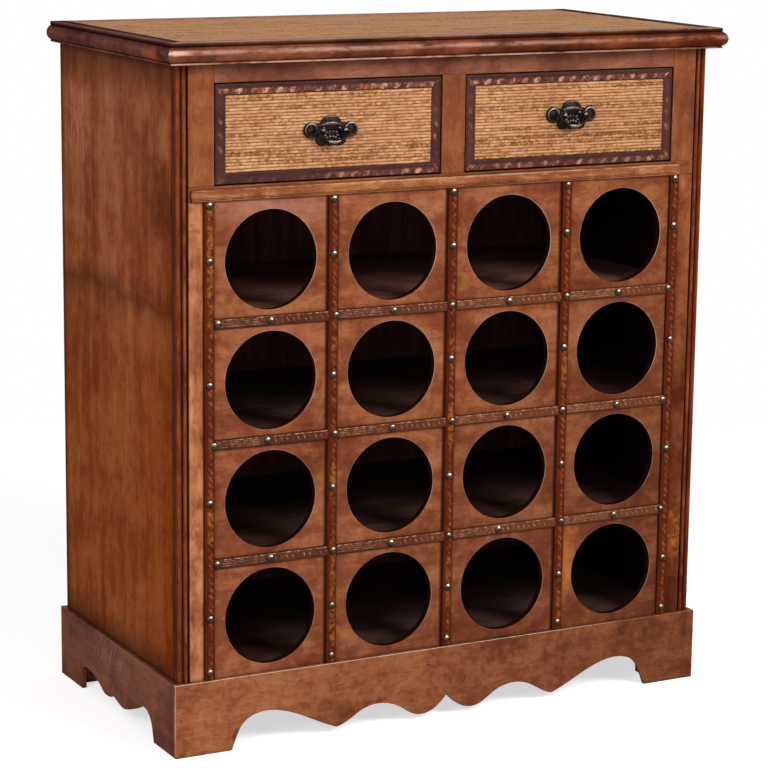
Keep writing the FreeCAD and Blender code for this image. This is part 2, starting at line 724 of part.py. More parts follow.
def moulding(name, length, turn, origin, near, far):
    """A length of the top moulding, with a mitre where its slab tapers.

    The section lies across local X, outwards, and the length runs along local Y. The slab that
    mitres it lies along local X, with its outer edge at near and far.
    """
    body = new_body(name + "_length")
    sketch = new_sketch(body, name + "_section", "XZ_Plane")
    frame, nose = size("moulding_frame"), size("moulding_nose")
    low, high = size("lower_fillet"), size("lower_fillet") + size("nose_height")
    full = size("moulding_height")
    corners = [("0", "0", 0, 0),
               ("moulding_frame", "0", frame, 0),
               ("moulding_frame", "lower_fillet", frame, low),
               ("moulding_frame", "lower_fillet + nose_height", frame, high),
               ("moulding_frame", "moulding_height", frame, full),
               ("0", "moulding_height", 0, full)]
    numbers = []
    for index, (start, end) in enumerate(zip(corners, corners[1:] + corners[:1])):
        first, last = vector(start[2], start[3], 0), vector(end[2], end[3], 0)
        if index == 2:
            tip = vector(frame + nose, (low + high) / 2, 0)
            numbers.append(sketch.addGeometry(Part.Arc(first, tip, last), False))
        else:
            numbers.append(sketch.addGeometry(Part.LineSegment(first, last), False))
    join_up(sketch, numbers)
    for index, number in enumerate(numbers):
        locate(sketch, number, 1, "corner_%d" % index, corners[index][0], corners[index][1])
    bulge = (nose * nose + (high - low) * (high - low) / 4) / (2 * nose)
    index = sketch.addConstraint(Sketcher.Constraint("Radius", numbers[2], bulge))
    sketch.renameConstraint(index, "nose")
    sketch.setExpression("Constraints.nose",
                         cell("(moulding_nose ^ 2 + nose_height ^ 2 / 4) / (2 * moulding_nose)"))
    pad = body.newObject("PartDesign::Pad", name + "_pad")
    pad.Profile = sketch
    pad.Reversed = True
    bind(pad, Length=length)
    turn_about_z(body, turn)
    put(body, *origin)
    slab = doc.addObject("Part::Wedge", name + "_mitre")
    bind(slab, Ymin="0", Ymax="moulding_width + overrun", Zmin="0", Zmax="moulding_height",
         Z2min="0", Z2max="moulding_height", Xmin=near[0], Xmax=near[1], X2min=far[0], X2max=far[1])
    return body, slab


def top_mouldings():
    reach = "moulding_width + overrun"
    outer_half = "top_inner_half + moulding_width"
    body, slab = moulding("top_moulding_front", "(%s) * 2" % outer_half, -90,
                          ("-(%s)" % outer_half, "top_inner_front", "body_top"),
                          ("-top_inner_half", "top_inner_half"),
                          ("-(top_inner_half + %s)" % reach, "top_inner_half + %s" % reach))
    turn_about_z(slab, 180)
    put(slab, "0", "top_inner_front", "body_top")
    subpart("top_moulding_front", common("top_moulding_front", body, slab))
    run = "back - top_inner_front"
    length = "%s + moulding_width" % run
    body, slab = moulding("top_moulding_right", length, 0,
                          ("top_inner_half", "top_inner_front - moulding_width", "body_top"),
                          ("-(%s)" % run, "0"), ("-(%s)" % run, reach))
    turn_about_z(slab, -90)
    put(slab, "top_inner_half", "top_inner_front", "body_top")
    subpart("top_moulding_right", common("top_moulding_right", body, slab))
    body, slab = moulding("top_moulding_left", length, 180, ("-top_inner_half", "back", "body_top"),
                          ("0", run), ("-(%s)" % reach, run))
    turn_about_z(slab, 90)
    put(slab, "-top_inner_half", "top_inner_front", "body_top")
    subpart("top_moulding_left", common("top_moulding_left", body, slab))


top_mouldings()

# Drawers

def border_strip(name, across, turn, x, z):
    """One strip of the leather border, mitred at both ends."""
    strip = doc.addObject("Part::Wedge", name)
    bind(strip, Xmin="-(%s) / 2" % across, Xmax="(%s) / 2" % across, Ymin="0", Ymax="border_width",
         X2min="-(%s) / 2 + border_width" % across, X2max="(%s) / 2 - border_width" % across,
         Zmin="0", Zmax="face_thickness", Z2min="0", Z2max="face_thickness")
    upright = FreeCAD.Rotation(vector(1, 0, 0), 90)
    turned = FreeCAD.Rotation(vector(0, -1, 0), turn)
    strip.Placement = FreeCAD.Placement(vector(0, 0, 0), turned.multiply(upright))
    put(strip, x, "drawer_board_front", z)
    return strip


def drawer(side, sign):
    middle = "drawer_middle" if sign > 0 else "-drawer_middle"
    reach = span(sign, "drawer_near", "drawer_far")
    wide = "drawer_far - drawer_near"
    tall = "drawer_high - drawer_low"
    post_places = ["%s - post_spacing / 2" % middle, "%s + post_spacing / 2" % middle]

    def post_holes(name):
        return [many_sided("%s_hole_%d" % (name, number), POST_SIDES, "hole_in_wood",
                           "drawer_board_back - drawer_face + overrun * 2", x,
                           "drawer_board_back + overrun", "pull_height_" + side, (0, -1, 0))
                for number, x in enumerate(post_places)]

    run = ("drawer_board_back", "drawer_end - drawer_side_thickness")
    bottom_low = "drawer_runner + drawer_bottom_raise"
    bottom = (bottom_low, bottom_low + " + drawer_bottom_thickness")
    lip = "drawer_side_thickness - drawer_groove"
    grooved = span(sign, "drawer_near + " + lip, "drawer_far - (%s)" % lip)

    name = "drawer_front_" + side
    front = box(name + "_board", reach, ("drawer_board_front", "drawer_board_back"),
                ("drawer_low", "drawer_high"))
    groove = box(name + "_groove", grooved,
                 ("drawer_board_back - drawer_groove", "drawer_board_back + overrun"), bottom)
    subpart(name, cut(name, front, groove, *post_holes(name)))

    name = "drawer_weave_" + side
    inside = span(sign, "drawer_near + border_width", "drawer_far - border_width")
    weave = box(name + "_sheet", inside, ("drawer_face", "drawer_board_front"),
                ("drawer_low + border_width", "drawer_high - border_width"))
    subpart(name, cut(name, weave, *post_holes(name)))

    low_end, high_end = "drawer_low", "drawer_high"
    left_end, right_end = ("%s - (%s) / 2" % (middle, wide), "%s + (%s) / 2" % (middle, wide))
    group("drawer_border_" + side, [
        border_strip("border_low_" + side, wide, 0, middle, low_end),
        border_strip("border_high_" + side, wide, 180, middle, high_end),
        border_strip("border_left_" + side, tall, 270, left_end, "drawer_line"),
        border_strip("border_right_" + side, tall, 90, right_end, "drawer_line")])

    high = ("drawer_runner", "drawer_side_high")
    walls = []
    for place_name, wall in (("near", span(sign, "drawer_near", "drawer_near + drawer_side_thickness")),
                             ("far", span(sign, "drawer_far - drawer_side_thickness", "drawer_far"))):
        label = "drawer_side_%s_%s" % (place_name, side)
        slot = box(label + "_groove", grooved, (run[0] + " - overrun", run[1] + " + overrun"), bottom)
        walls.append(cut(label, box(label + "_board", wall, run, high), slot))
    group("drawer_sides_" + side, walls)
    board("drawer_back_" + side, reach, ("drawer_end - drawer_side_thickness", "drawer_end"), high)
    board("drawer_bottom_" + side, grooved, ("drawer_board_back - drawer_groove", run[1]), bottom)
    pull(side, middle, post_places)


EAR_SIDES = 20
POST_SIDES = 12
# Rings of a ball head, from its foremost point to its back, as shares of half a turn
HEAD_ANGLE_SHARES = (0.08, 0.25, 0.42, 0.58, 0.75, 0.92)


def pull(side, middle, post_places):
    """Cast plate with round ears and a crest, and a bail that hangs from two ball-headed posts."""
    forwards = (0, -1, 0)
    line = "pull_height_" + side

    def disc(label, diameter, thickness, x, y, z="0"):
        return many_sided("%s_%s" % (label, side), EAR_SIDES, diameter, thickness,
                          "%s + %s" % (middle, x), y, "%s + %s" % (line, z), forwards)

    def foot(label, x):
        return many_sided("%s_%s" % (label, side), POST_SIDES, "foot_diameter", "plate_thickness",
                          "%s + (%s)" % (middle, x), "drawer_face", "%s - plate_fall + foot_diameter / 2" % line,
                          forwards)

    neck = box("plate_neck_" + side, ("%s - ear_spacing / 2" % middle, "%s + ear_spacing / 2" % middle),
               ("plate_face", "drawer_face"),
               (line + " - ear_diameter / 4", line + " + ear_diameter / 4"))
    chin = box("plate_chin_" + side, ("%s - foot_spacing / 2" % middle, "%s + foot_spacing / 2" % middle),
               ("plate_face", "drawer_face"), (line + " - plate_fall", line))
    shapes = [disc("crest", "crest_diameter", "plate_thickness", "0", "drawer_face",
                   "plate_rise - crest_diameter / 2"),
              disc("shoulder", "shoulder_diameter", "plate_thickness", "0", "drawer_face",
                   "(-shoulder_drop)"),
              foot("foot_left", "-foot_spacing / 2"), foot("foot_right", "foot_spacing / 2"), neck, chin]
    hollows = []
    for ear, sign in sides():
        x = "ear_spacing / 2" if sign > 0 else "-ear_spacing / 2"
        shapes.append(disc("ear_" + ear, "ear_diameter", "plate_thickness + ear_rim_height", x,
                           "drawer_face"))
        hollows.append(disc("ear_hollow_" + ear, "ear_diameter - ear_rim_width * 2",
                            "ear_rim_height + overrun", x, "plate_face"))
    bosses = []
    for ear, sign in sides():
        x = "ear_spacing / 2" if sign > 0 else "-ear_spacing / 2"
        bosses.append(disc("ear_boss_" + ear, "boss_diameter", "ear_rim_height", x, "plate_face"))
    holes = [many_sided("plate_hole_%d_%s" % (number, side), POST_SIDES, "hole_in_wood",
                        "plate_thickness + overrun * 2", x, "drawer_face + overrun", line, forwards)
             for number, x in enumerate(post_places)]
    blank = fuse("pull_plate_blank_" + side, shapes)
    hollowed = cut("pull_plate_hollow_" + side, blank, *hollows)
    name = "pull_plate_" + side
    subpart(name, cut(name, fuse("pull_plate_cast_" + side, [hollowed] + bosses), *holes))

    head_radius = size("post_head") / 2
    head_angles = [math.pi * share for share in HEAD_ANGLE_SHARES]
    end = "drawer_board_back + nut_thickness"
    posts = []
    nuts = []
    for number, x in enumerate(post_places):
        label = "%d_%s" % (number, side)
        shaft = many_sided("post_shaft_" + label, POST_SIDES, "post_diameter", "%s - pivot_line" % end,
                           x, end, line, forwards)
        head = doc.addObject("Part::Feature", "post_head_" + label)
        head.Shape = dome(head_radius, 0, head_angles, POST_SIDES)
        put(head, x, "pivot_line", line)
        whole = fuse("post_whole_" + label, [shaft, head])
        outwards = number * 2 - 1
        inner = "(post_head / 2 - bail_pin_depth - bail_pin_clearance)"
        socket = many_sided("post_socket_" + label, POST_SIDES, "bail_pin + bail_pin_clearance * 2",
                            "post_head", "%s + %s * (%d)" % (x, inner, outwards), "pivot_line",
                            line, (outwards, 0, 0))
        posts.append(cut("post_" + label, whole, socket))
        square = box("nut_square_" + label, ("%s - nut_width / 2" % x, "%s + nut_width / 2" % x),
                     ("drawer_board_back", end),
                     (line + " - nut_width / 2", line + " + nut_width / 2"))
        thread = many_sided("nut_thread_" + label, POST_SIDES, "post_diameter",
                            "nut_thickness + overrun * 2", x, "%s + overrun" % end, line, forwards)
        nuts.append(cut("nut_" + label, square, thread))
    group("pull_posts_" + side, posts + nuts)
    bail(side, middle)


# Half of the bail from the grip to the pin: shares of its half width, of its drop and of the grip's
# swelling
BAIL_SHARES = [(0, -1, 1), (0.16, -0.99, 0.75), (0.34, -0.95, 0), (0.56, -0.82, -0.15), (0.75, -0.58, -0.15),
               (0.94, -0.34, 0), (1, 0, 0), (0.97, 0.1, -0.6)]
BAIL_SIDES = 8


def bail(side, middle):
    """Swan-necked bar with a swelling in the middle, and a pin turned inwards at each end."""
    half, drop, radius = size("bail_half"), size("bail_drop"), size("bail_diameter") / 2
    swelling = size("grip_diameter") / 2 - radius
    right = [(vector(half * x, 0, drop * z), radius + swelling * share) for x, z, share in BAIL_SHARES]
    left = [(vector(-point.x, 0, point.z), thickness) for point, thickness in reversed(right[1:])]
    stations = left + right
    line = Part.BSplineCurve()
    line.interpolate([point for point, thickness in stations])
    depth = vector(0, 1, 0)
    rings = []
    for point, thickness in stations:
        along = vector(*line.tangent(line.parameter(point))[0])
        rings.append(ring(point, depth, depth.cross(along), thickness, BAIL_SIDES))
    solid = skin(rings, False)
    pin_end = (size("post_spacing") + size("post_head")) / 2 - size("bail_pin_depth")
    for sign in (-1, 1):
        ends = [ring(vector(sign * x, 0, 0), depth, vector(0, 0, 1), size("bail_pin") / 2, POST_SIDES)
                for x in (pin_end, half)]
        solid = solid.fuse(skin(ends, True))
    name = "pull_bail_" + side
    feature = doc.addObject("Part::Feature", name)
    feature.Shape = solid
    put(feature, middle, "pivot_line", "pull_height_" + side)
    subpart(name, feature)


for side, sign in sides():
    drawer(side, sign)

# Check every object and write each sub-part

doc.recompute()
for thing in doc.Objects:
    if "Invalid" in thing.State or "Error" in thing.State:
        raise ValueError("%s is %s" % (thing.Name, thing.State))
os.makedirs("parts", exist_ok=True)
for name, thing in SUBPARTS.items():
    if thing.Shape.isNull() or not thing.Shape.isValid():
        raise ValueError(name + " has no valid shape")
for name, thing in SUBPARTS.items():
    thing.Shape.exportStep("parts/%s.step" % name)
print(len(SUBPARTS), "sub-parts")
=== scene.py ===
"""Looks for the wine trunk: stained wood case, embossed leather strips, woven grass panels and cast pulls."""

import json
import math
import random

import bmesh
import bpy
from mathutils import Matrix, Vector, noise


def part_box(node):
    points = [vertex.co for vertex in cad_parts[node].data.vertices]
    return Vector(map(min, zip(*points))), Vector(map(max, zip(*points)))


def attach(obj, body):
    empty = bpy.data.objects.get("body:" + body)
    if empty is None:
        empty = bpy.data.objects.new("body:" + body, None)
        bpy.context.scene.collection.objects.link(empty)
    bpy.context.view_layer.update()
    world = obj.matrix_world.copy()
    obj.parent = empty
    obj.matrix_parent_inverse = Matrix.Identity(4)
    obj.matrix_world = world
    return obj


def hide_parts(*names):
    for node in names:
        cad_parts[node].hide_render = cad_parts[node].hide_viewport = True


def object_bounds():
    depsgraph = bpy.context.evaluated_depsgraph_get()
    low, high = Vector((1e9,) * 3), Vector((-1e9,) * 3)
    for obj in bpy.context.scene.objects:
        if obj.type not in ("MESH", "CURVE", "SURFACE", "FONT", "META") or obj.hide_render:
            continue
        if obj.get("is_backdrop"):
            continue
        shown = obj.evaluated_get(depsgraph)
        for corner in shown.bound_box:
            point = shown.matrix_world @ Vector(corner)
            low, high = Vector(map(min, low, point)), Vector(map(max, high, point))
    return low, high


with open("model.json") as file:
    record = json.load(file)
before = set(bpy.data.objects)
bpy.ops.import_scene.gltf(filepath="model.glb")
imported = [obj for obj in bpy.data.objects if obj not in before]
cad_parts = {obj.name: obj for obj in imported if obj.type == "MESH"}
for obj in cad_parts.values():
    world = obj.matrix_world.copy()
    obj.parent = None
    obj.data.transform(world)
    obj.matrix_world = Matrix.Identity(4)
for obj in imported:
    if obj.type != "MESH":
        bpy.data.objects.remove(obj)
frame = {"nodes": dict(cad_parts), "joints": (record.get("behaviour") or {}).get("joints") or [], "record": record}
CAD_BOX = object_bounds()
MM = 0.001
X_WAY, Y_WAY, Z_WAY = Vector((1, 0, 0)), Vector((0, 1, 0)), Vector((0, 0, 1))
NODES = frame["nodes"]
BODY_OF = {node: body for body, nodes in frame["record"]["behaviour"]["bodies"].items() for node in nodes}
JOINTS = {joint["name"]: joint for joint in frame["joints"]}

# Camera

PICTURE_WIDTH = 768
SENSOR = 36.0
FOCAL_PIXELS = 2678.80
CAMERA_PLACE = (-1.50420, -2.84157, 1.03715)
HEADING, DIP, LEAN = 0.48716, 0.20343, -0.01162
SIGHT = 200


def make_camera():
    ahead = Vector((math.sin(HEADING) * math.cos(DIP), math.cos(HEADING) * math.cos(DIP), -math.sin(DIP)))
    level = Vector((math.cos(HEADING), -math.sin(HEADING), 0))
    down = ahead.cross(level)
    right = math.cos(LEAN) * level + math.sin(LEAN) * down
    up = math.sin(LEAN) * level - math.cos(LEAN) * down
    lens = bpy.data.cameras.new("camera")
    lens.sensor_width = SENSOR
    lens.lens = FOCAL_PIXELS / PICTURE_WIDTH * SENSOR
    lens.clip_end = SIGHT
    camera = bpy.data.objects.new("camera", lens)
    turned = Matrix((right, up, -ahead)).transposed().to_4x4()
    camera.matrix_world = Matrix.Translation(CAMERA_PLACE) @ turned
    bpy.context.scene.collection.objects.link(camera)
    bpy.context.scene.camera = camera


make_camera()

# Meshes


def clamp(value, low=0.0):
    return max(low, min(1.0, value))


def ease(value, low, high):
    """0 below low, 1 above high, and smooth between them."""
    share = clamp((value - low) / (high - low))
    return share * share * (3 - 2 * share)


def bell(distance, width):
    """1 at no distance, 0 at the width and beyond."""
    return 1 - ease(abs(distance), 0, width)


def wobble(x, y, z, size):
    """Smooth noise from -1 to 1 whose bumps are about this size."""
    return noise.noise(Vector((x, y, z)) / size)


def mark(shape, name):
    return shape.verts.layers.float.get(name) or shape.verts.layers.float.new(name)


def blank(*marks):
    """An empty mesh whose points can hold these marks."""
    shape = bmesh.new()
    for name in marks:
        mark(shape, name)
    return shape


def piece(name, shape, node, finish, crease=40, flat_faces=True):
    """The mesh as a piece of the object, on the body of the node that it stands for, with the node hidden."""
    mesh = bpy.data.meshes.new(name)
    bmesh.ops.recalc_face_normals(shape, faces=shape.faces)
    shape.to_mesh(mesh)
    shape.free()
    mesh.shade_smooth()
    mesh.set_sharp_from_angle(angle=math.radians(crease))
    mesh.materials.append(finish)
    made = bpy.data.objects.new(name, mesh)
    bpy.context.scene.collection.objects.link(made)
    if flat_faces:
        made.modifiers.new("flat faces", "WEIGHTED_NORMAL").keep_sharp = True
    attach(made, BODY_OF[node])
    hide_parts(node)


def loft(shape, rings):
    """Skins closed rings of the same number of points. Each point is a place and its marks."""
    made = []
    for ring in rings:
        row = []
        for place, marks in ring:
            vertex = shape.verts.new(place)
            for name, value in marks.items():
                vertex[mark(shape, name)] = value
            row.append(vertex)
        made.append(row)
    count = len(made[0])
    for low, high in zip(made, made[1:]):
        for index in range(count):
            following = (index + 1) % count
            shape.faces.new((low[index], low[following], high[following], high[index]))
    shape.faces.new(made[0][::-1])
    shape.faces.new(made[-1])


# Finishes: what the node groups and the materials are built with


class Bench:
    """Holds the node tree that is being built."""

    tree = None


class Value:
    """What a node puts out. It adds and multiplies like a number."""

    def __init__(self, socket):
        self.socket = socket

    def __add__(self, other):
        return worked_out("ADD", self, other)

    def __sub__(self, other):
        return worked_out("SUBTRACT", self, other)

    def __rsub__(self, other):
        return worked_out("SUBTRACT", other, self)

    def __mul__(self, other):
        return worked_out("MULTIPLY", self, other)


def fill(node, inputs):
    """Gives each named input of a node its link or its value."""
    for key, given in inputs.items():
        socket = node.inputs[key]
        if isinstance(given, Value):
            Bench.tree.links.new(given.socket, socket)
        else:
            socket.default_value = (*given, 1.0) if socket.type == "RGBA" else given


def add(kind, inputs=None, **settings):
    """A shader node with its settings and its inputs."""
    made = Bench.tree.nodes.new("ShaderNode" + kind)
    for name, setting in settings.items():
        setattr(made, name, setting)
    fill(made, inputs or {})
    return made


def out_of(kind, inputs=None, output=0, **settings):
    return Value(add(kind, inputs, **settings).outputs[output])


def worked_out(operation, *numbers, hold=False):
    return out_of("Math", dict(enumerate(numbers)), operation=operation, use_clamp=hold)


def held(number):
    """The number, kept from 0 to 1."""
    return worked_out("ADD", number, 0.0, hold=True)


def blend(share, first, second, way="MIX"):
    """Two colours mixed."""
    return out_of("Mix", {"Factor": share, 6: first, 7: second}, 2, data_type="RGBA", blend_type=way)


def ramp(share, *stops, how="LINEAR"):
    """Grey or colour stops along a share."""
    made = add("ValToRGB", {"Fac": share})
    made.color_ramp.interpolation = how
    elements = made.color_ramp.elements
    while len(elements) < len(stops):
        elements.new(0.5)
    for element, (place, colour) in zip(elements, stops):
        element.position = place
        element.color = (*colour, 1.0) if isinstance(colour, tuple) else (colour, colour, colour, 1.0)
    return Value(made.outputs[0])


def vectors(operation, *inputs):
    return out_of("VectorMath", dict(enumerate(inputs)), operation=operation)


def parts(place):
    """How far sideways, back and up a place is."""
    return [Value(socket) for socket in add("SeparateXYZ", {0: place}).outputs]


def cloud(place, scale, detail, rough=0.55, bend=0.0):
    return out_of("TexNoise", {"Vector": place, "Scale": scale, "Detail": detail, "Roughness": rough,
                               "Distortion": bend})


def measure(name):
    """A mark of the mesh as a number."""
    return out_of("Attribute", output="Fac", attribute_name=name)


def group(name, inputs, outputs, build):
    """A node group. An input without a value is a vector, and build returns what the group puts out."""
    made = bpy.data.node_groups.new(name, "ShaderNodeTree")
    for label, given in inputs.items():
        kind = "Vector" if given is None else "Color" if isinstance(given, tuple) else "Float"
        socket = made.interface.new_socket(name=label, in_out="INPUT", socket_type="NodeSocket" + kind)
        if given is not None:
            socket.default_value = (*given, 1.0) if kind == "Color" else given
    for label, kind in outputs.items():
        made.interface.new_socket(name=label, in_out="OUTPUT", socket_type="NodeSocket" + kind)
    Bench.tree = made
    source = made.nodes.new("NodeGroupInput")
    sink = made.nodes.new("NodeGroupOutput")
    fill(sink, build({label: Value(source.outputs[label]) for label in inputs}))
    return made


def placed(made, **values):
    """A node group set into the material on the bench, as what it puts out."""
    return {socket.name: Value(socket) for socket in add("Group", values, node_tree=made).outputs}


PORE_DARK = (0.035, 0.012, 0.006)
# Tint of the painted shade towards the lower right
LOWER_RIGHT_SHADE_TINT = (0.42, 0.33, 0.28)


def build_stained_wood(given):
    """Grain, pores, blotches, ochre patches, and painted shade towards the lower right. The grain runs along the
    axis that Along shortens.
    """
    place = vectors("ADD", given["Place"], given["Board"])
    along = vectors("MULTIPLY", place, given["Along"])
    bent = vectors("ADD", along, cloud(place, 9.0, 2.0) * 0.035)
    grain = cloud(bent, 60.0, 4.0, 0.6)
    fibre = cloud(bent, 420.0, 3.0, 0.7)
    mottle = cloud(place, 70.0, 3.0, 0.6, 0.8)
    broad = cloud(place, 5.0, 2.0, 0.5)
    shade = (cloud(place, 16.0, 3.0, 0.55, 0.4) - 0.5) * given["Blotch"] + 0.5
    for uneven, label in ((mottle, "Mottle"), (grain, "Grain"), (broad, "Broad")):
        shade = (uneven - 0.5) * given[label] + shade
    colour = blend(ramp(shade, (0.22, 0.0), (0.52, 1.0)), given["Dark"], given["Middle"])
    colour = blend(ramp(shade, (0.48, 0.0), (0.80, 1.0)), colour, given["Light"])
    patch = ramp(cloud(place, 24.0, 4.0, 0.65, 0.6), (0.54, 0.0), (0.68, 1.0))
    colour = blend(patch * given["Golden"], colour, given["Ochre"])
    colour = blend(ramp(fibre, (0.30, 1.0), (0.62, 0.0)) * given["Fibre"], colour, given["Dark"])
    specks = ramp(cloud(bent, 900.0, 1.0, 0.5), (0.30, 1.0), (0.40, 0.0))
    colour = blend(specks * given["Pores"], colour, PORE_DARK)
    ends = parts(given["Place"])
    # Painted shade: darker towards the right and towards the bottom
    lean = ends[0] + ends[2] * -0.9 + broad * 0.25 + 0.33
    colour = blend(ramp(lean, (0.05, 0.0), (0.75, 1.0)) * given["Fade"], colour, LOWER_RIGHT_SHADE_TINT, "MULTIPLY")
    return {"Color": colour, "Gloss": mottle * 0.22 + specks * 0.2 - 0.11,
            "Height": specks * -0.6 + grain * 0.5 + fibre}


STAINED_WOOD = group("stained wood", {
    "Place": None, "Board": None, "Along": None, "Dark": (0.10, 0.03, 0.012), "Middle": (0.28, 0.09, 0.035),
    "Light": (0.42, 0.17, 0.07), "Ochre": (0.46, 0.19, 0.045), "Blotch": 0.9, "Mottle": 0.4, "Grain": 0.5,
    "Broad": 0.4, "Fibre": 0.3, "Pores": 0.4, "Golden": 0.25, "Fade": 0.7},
    {"Color": "Color", "Gloss": "Float", "Height": "Float"}, build_stained_wood)


def build_edge_wear(given):
    """Rubbed edges, broken up by noise."""
    both = cloud(given["Place"], 260.0, 2.0, 0.6) * 0.4 + cloud(given["Place"], 55.0, 3.0, 0.65) * 0.8
    return {"Mask": held((both - given["Start"]) * 6.0) * given["Edge"] * given["Amount"]}


EDGE_WEAR = group("edge wear", {"Place": None, "Edge": 0.0, "Start": 0.5, "Amount": 1.0}, {"Mask": "Float"},
                  build_edge_wear)


def build_corner_shade_and_dirt(given):
    """Painted shade where ambient occlusion finds corners and creases, with the stain and dust that stay there."""
    corner = out_of("AmbientOcclusion", {"Distance": given["Reach"]}, "AO", samples=6, only_local=False)
    deep = ramp(corner, (0.25, 1.0), (0.85, 0.0))
    return {"Mask": held(deep * given["Amount"] * (cloud(given["Place"], 90.0, 2.0) * 0.8 + 0.6))}


# Painted shade, with dirt, in corners and creases
CORNER_SHADE_AND_DIRT = group("corner shade_and_dirt", {"Place": None, "Reach": 0.006, "Amount": 0.8}, {"Mask": "Float"}, build_corner_shade_and_dirt)


def empty_bench(holder):
    """Puts the emptied node tree of a material or a world on the bench."""
    holder.use_nodes = True
    Bench.tree = holder.node_tree
    Bench.tree.nodes.clear()


def new_finish(name):
    """A material on the bench, its shader and the place on the object."""
    made = bpy.data.materials.new(name)
    empty_bench(made)
    shader = add("BsdfPrincipled")
    add("OutputMaterial", {"Surface": Value(shader.outputs[0])})
    return made, shader, out_of("TexCoord", output="Object")


# How deep the fine relief of each finish is
WOOD_DEPTH, LEATHER_DEPTH, GRASS_DEPTH, METAL_DEPTH = 0.35 * MM, 0.25 * MM, 0.4 * MM, 0.15 * MM


def settle(shader, colour, rough, height, depth, strength=0.3, **values):
    """Joins colour, roughness and relief to the shader, and sets what is the same all over."""
    bump = out_of("Bump", {"Height": height, "Strength": strength, "Distance": depth})
    fill(shader, {"Base Color": colour, "Roughness": rough, "Normal": bump})
    fill(shader, {key.replace("_", " "): value for key, value in values.items()})


# Wood

ALONG_X = (0.09, 1.0, 1.0)
ALONG_Y = (1.0, 0.09, 1.0)
ALONG_Z = (1.0, 1.0, 0.09)
BOARD_SHIFT = (7.31, 3.77, 5.13)
LONGEST_WEAR = 0.3
# Colour of the painted shade, with dirt, in corners
CORNER_SHADE_AND_DIRT_COLOUR = (0.03, 0.010, 0.006)
# Colour of the painted shade where the deep mark is set: grooves, quirks, bores and under the middle strip
DEEP_SHADE = (0.010, 0.0035, 0.0025)


def wood(name, along, dark, middle, light, worn, rough=0.42, wear=0.8, wear_start=0.52, shade_and_dirt=0.75,
         sheen=0.07, extra=None, **grain):
    """Stained wood: grain, the marks of extra, rubbed edges with some painted highlights, painted shade and dirt
    in corners, and painted shade in deep places.
    """
    made, shader, place = new_finish(name)
    stained = placed(STAINED_WOOD, Place=place, Board=vectors("MULTIPLY", measure("board"), BOARD_SHIFT),
                     Along=along, Dark=dark, Middle=middle, Light=light,
                     **{key.capitalize(): value for key, value in grain.items()})
    colour = extra(place, stained["Color"]) if extra else stained["Color"]
    along_edge = vectors("MULTIPLY", place, tuple(max(share, LONGEST_WEAR) for share in along))
    edge = placed(EDGE_WEAR, Place=along_edge, Edge=measure("edge"), Start=wear_start, Amount=wear)["Mask"]
    corner = placed(CORNER_SHADE_AND_DIRT, Place=place, Amount=shade_and_dirt)["Mask"]
    for share, other in ((edge, worn), (corner, CORNER_SHADE_AND_DIRT_COLOUR), (measure("deep"), DEEP_SHADE)):
        colour = blend(share, colour, other)
    settle(shader, colour, corner * 0.3 + stained["Gloss"] + rough, stained["Height"], WOOD_DEPTH,
           Specular_IOR_Level=sheen)
    return made


def spot(place, axis, middle, reach, size=90.0):
    """A soft patch round a place on a face, as a share: middle and reach along the axis and in height."""
    ends = parts(place)
    across = (ends[axis] - middle[0]) * (1 / reach[0])
    up = (ends[2] - middle[1]) * (1 / reach[1])
    away = worked_out("SQRT", across * across + up * up)
    return ramp(cloud(place, size, 3.0, 0.65) * 0.9 + away * 0.5, (0.55, 1.0), (0.95, 0.0))


def patched(place, colour, axis, patches):
    """Soft patches on a face: the middle, reach, noise size, strength and colour of each."""
    for middle, reach, size, strength, other in patches:
        colour = blend(spot(place, axis, middle, reach, size) * strength, colour, other)
    return colour


def stile_marks(place, colour):
    """An orange patch low on the right stile, where the stain has worn through, and painted shade that makes the
    right stile darker.
    """
    speckled = ramp(cloud(place, 190.0, 3.0, 0.7), (0.40, 0.15), (0.60, 1.0))
    glow = spot(place, 0, (0.324, 0.19), (0.018, 0.045), 60.0) * speckled * 0.9
    colour = blend(glow, colour, (0.50, 0.15, 0.030))
    # Painted shade: the right stile darker
    return blend(ramp(parts(place)[0], (0.10, 0.0), (0.25, 1.0)), colour, (0.86, 0.79, 0.76), "MULTIPLY")


STRIP_PITCH = 0.154
# How far the painted shadow of each upright strip reaches to its left
STRIP_SHADOW_REACH = 0.020
RACK_PATCHES = [((-0.235, 0.63), (0.10, 0.030), 50.0, 0.45, (0.40, 0.19, 0.135)),
                ((0.165, 0.17), (0.020, 0.06), 60.0, 0.7, (0.42, 0.13, 0.028)),
                ((-0.06, 0.36), (0.05, 0.03), 60.0, 0.5, (0.40, 0.15, 0.050))]


def rack_marks(place, colour):
    """A cooler first cell, warm patches, a paler lowest row, and a painted shadow left of each upright strip."""
    colour = patched(place, colour, 0, RACK_PATCHES)
    ends = parts(place)
    colour = blend(ramp(ends[2], (0.17, 1.0), (0.24, 0.0)), colour, (1.12, 1.16, 1.30), "MULTIPLY")
    # Painted shadow cast on the board to the left of each upright strip
    turn = worked_out("FRACT", ends[0] * (1 / STRIP_PITCH) + 2.5)
    from_strip = (turn - 0.5) * (STRIP_PITCH / STRIP_SHADOW_REACH) + 0.5
    left = ramp(from_strip, (0.0, 0.0), (0.05, 0.85), (0.19, 0.85), (0.26, 0.0))
    return blend(left, colour, (0.045, 0.010, 0.006))


SIDE_PATCHES = [((-0.125, 0.635), (0.05, 0.055), 30.0, 0.75, (0.085, 0.020, 0.010)),
                ((-0.130, 0.705), (0.02, 0.030), 30.0, 0.6, (0.46, 0.16, 0.065))]


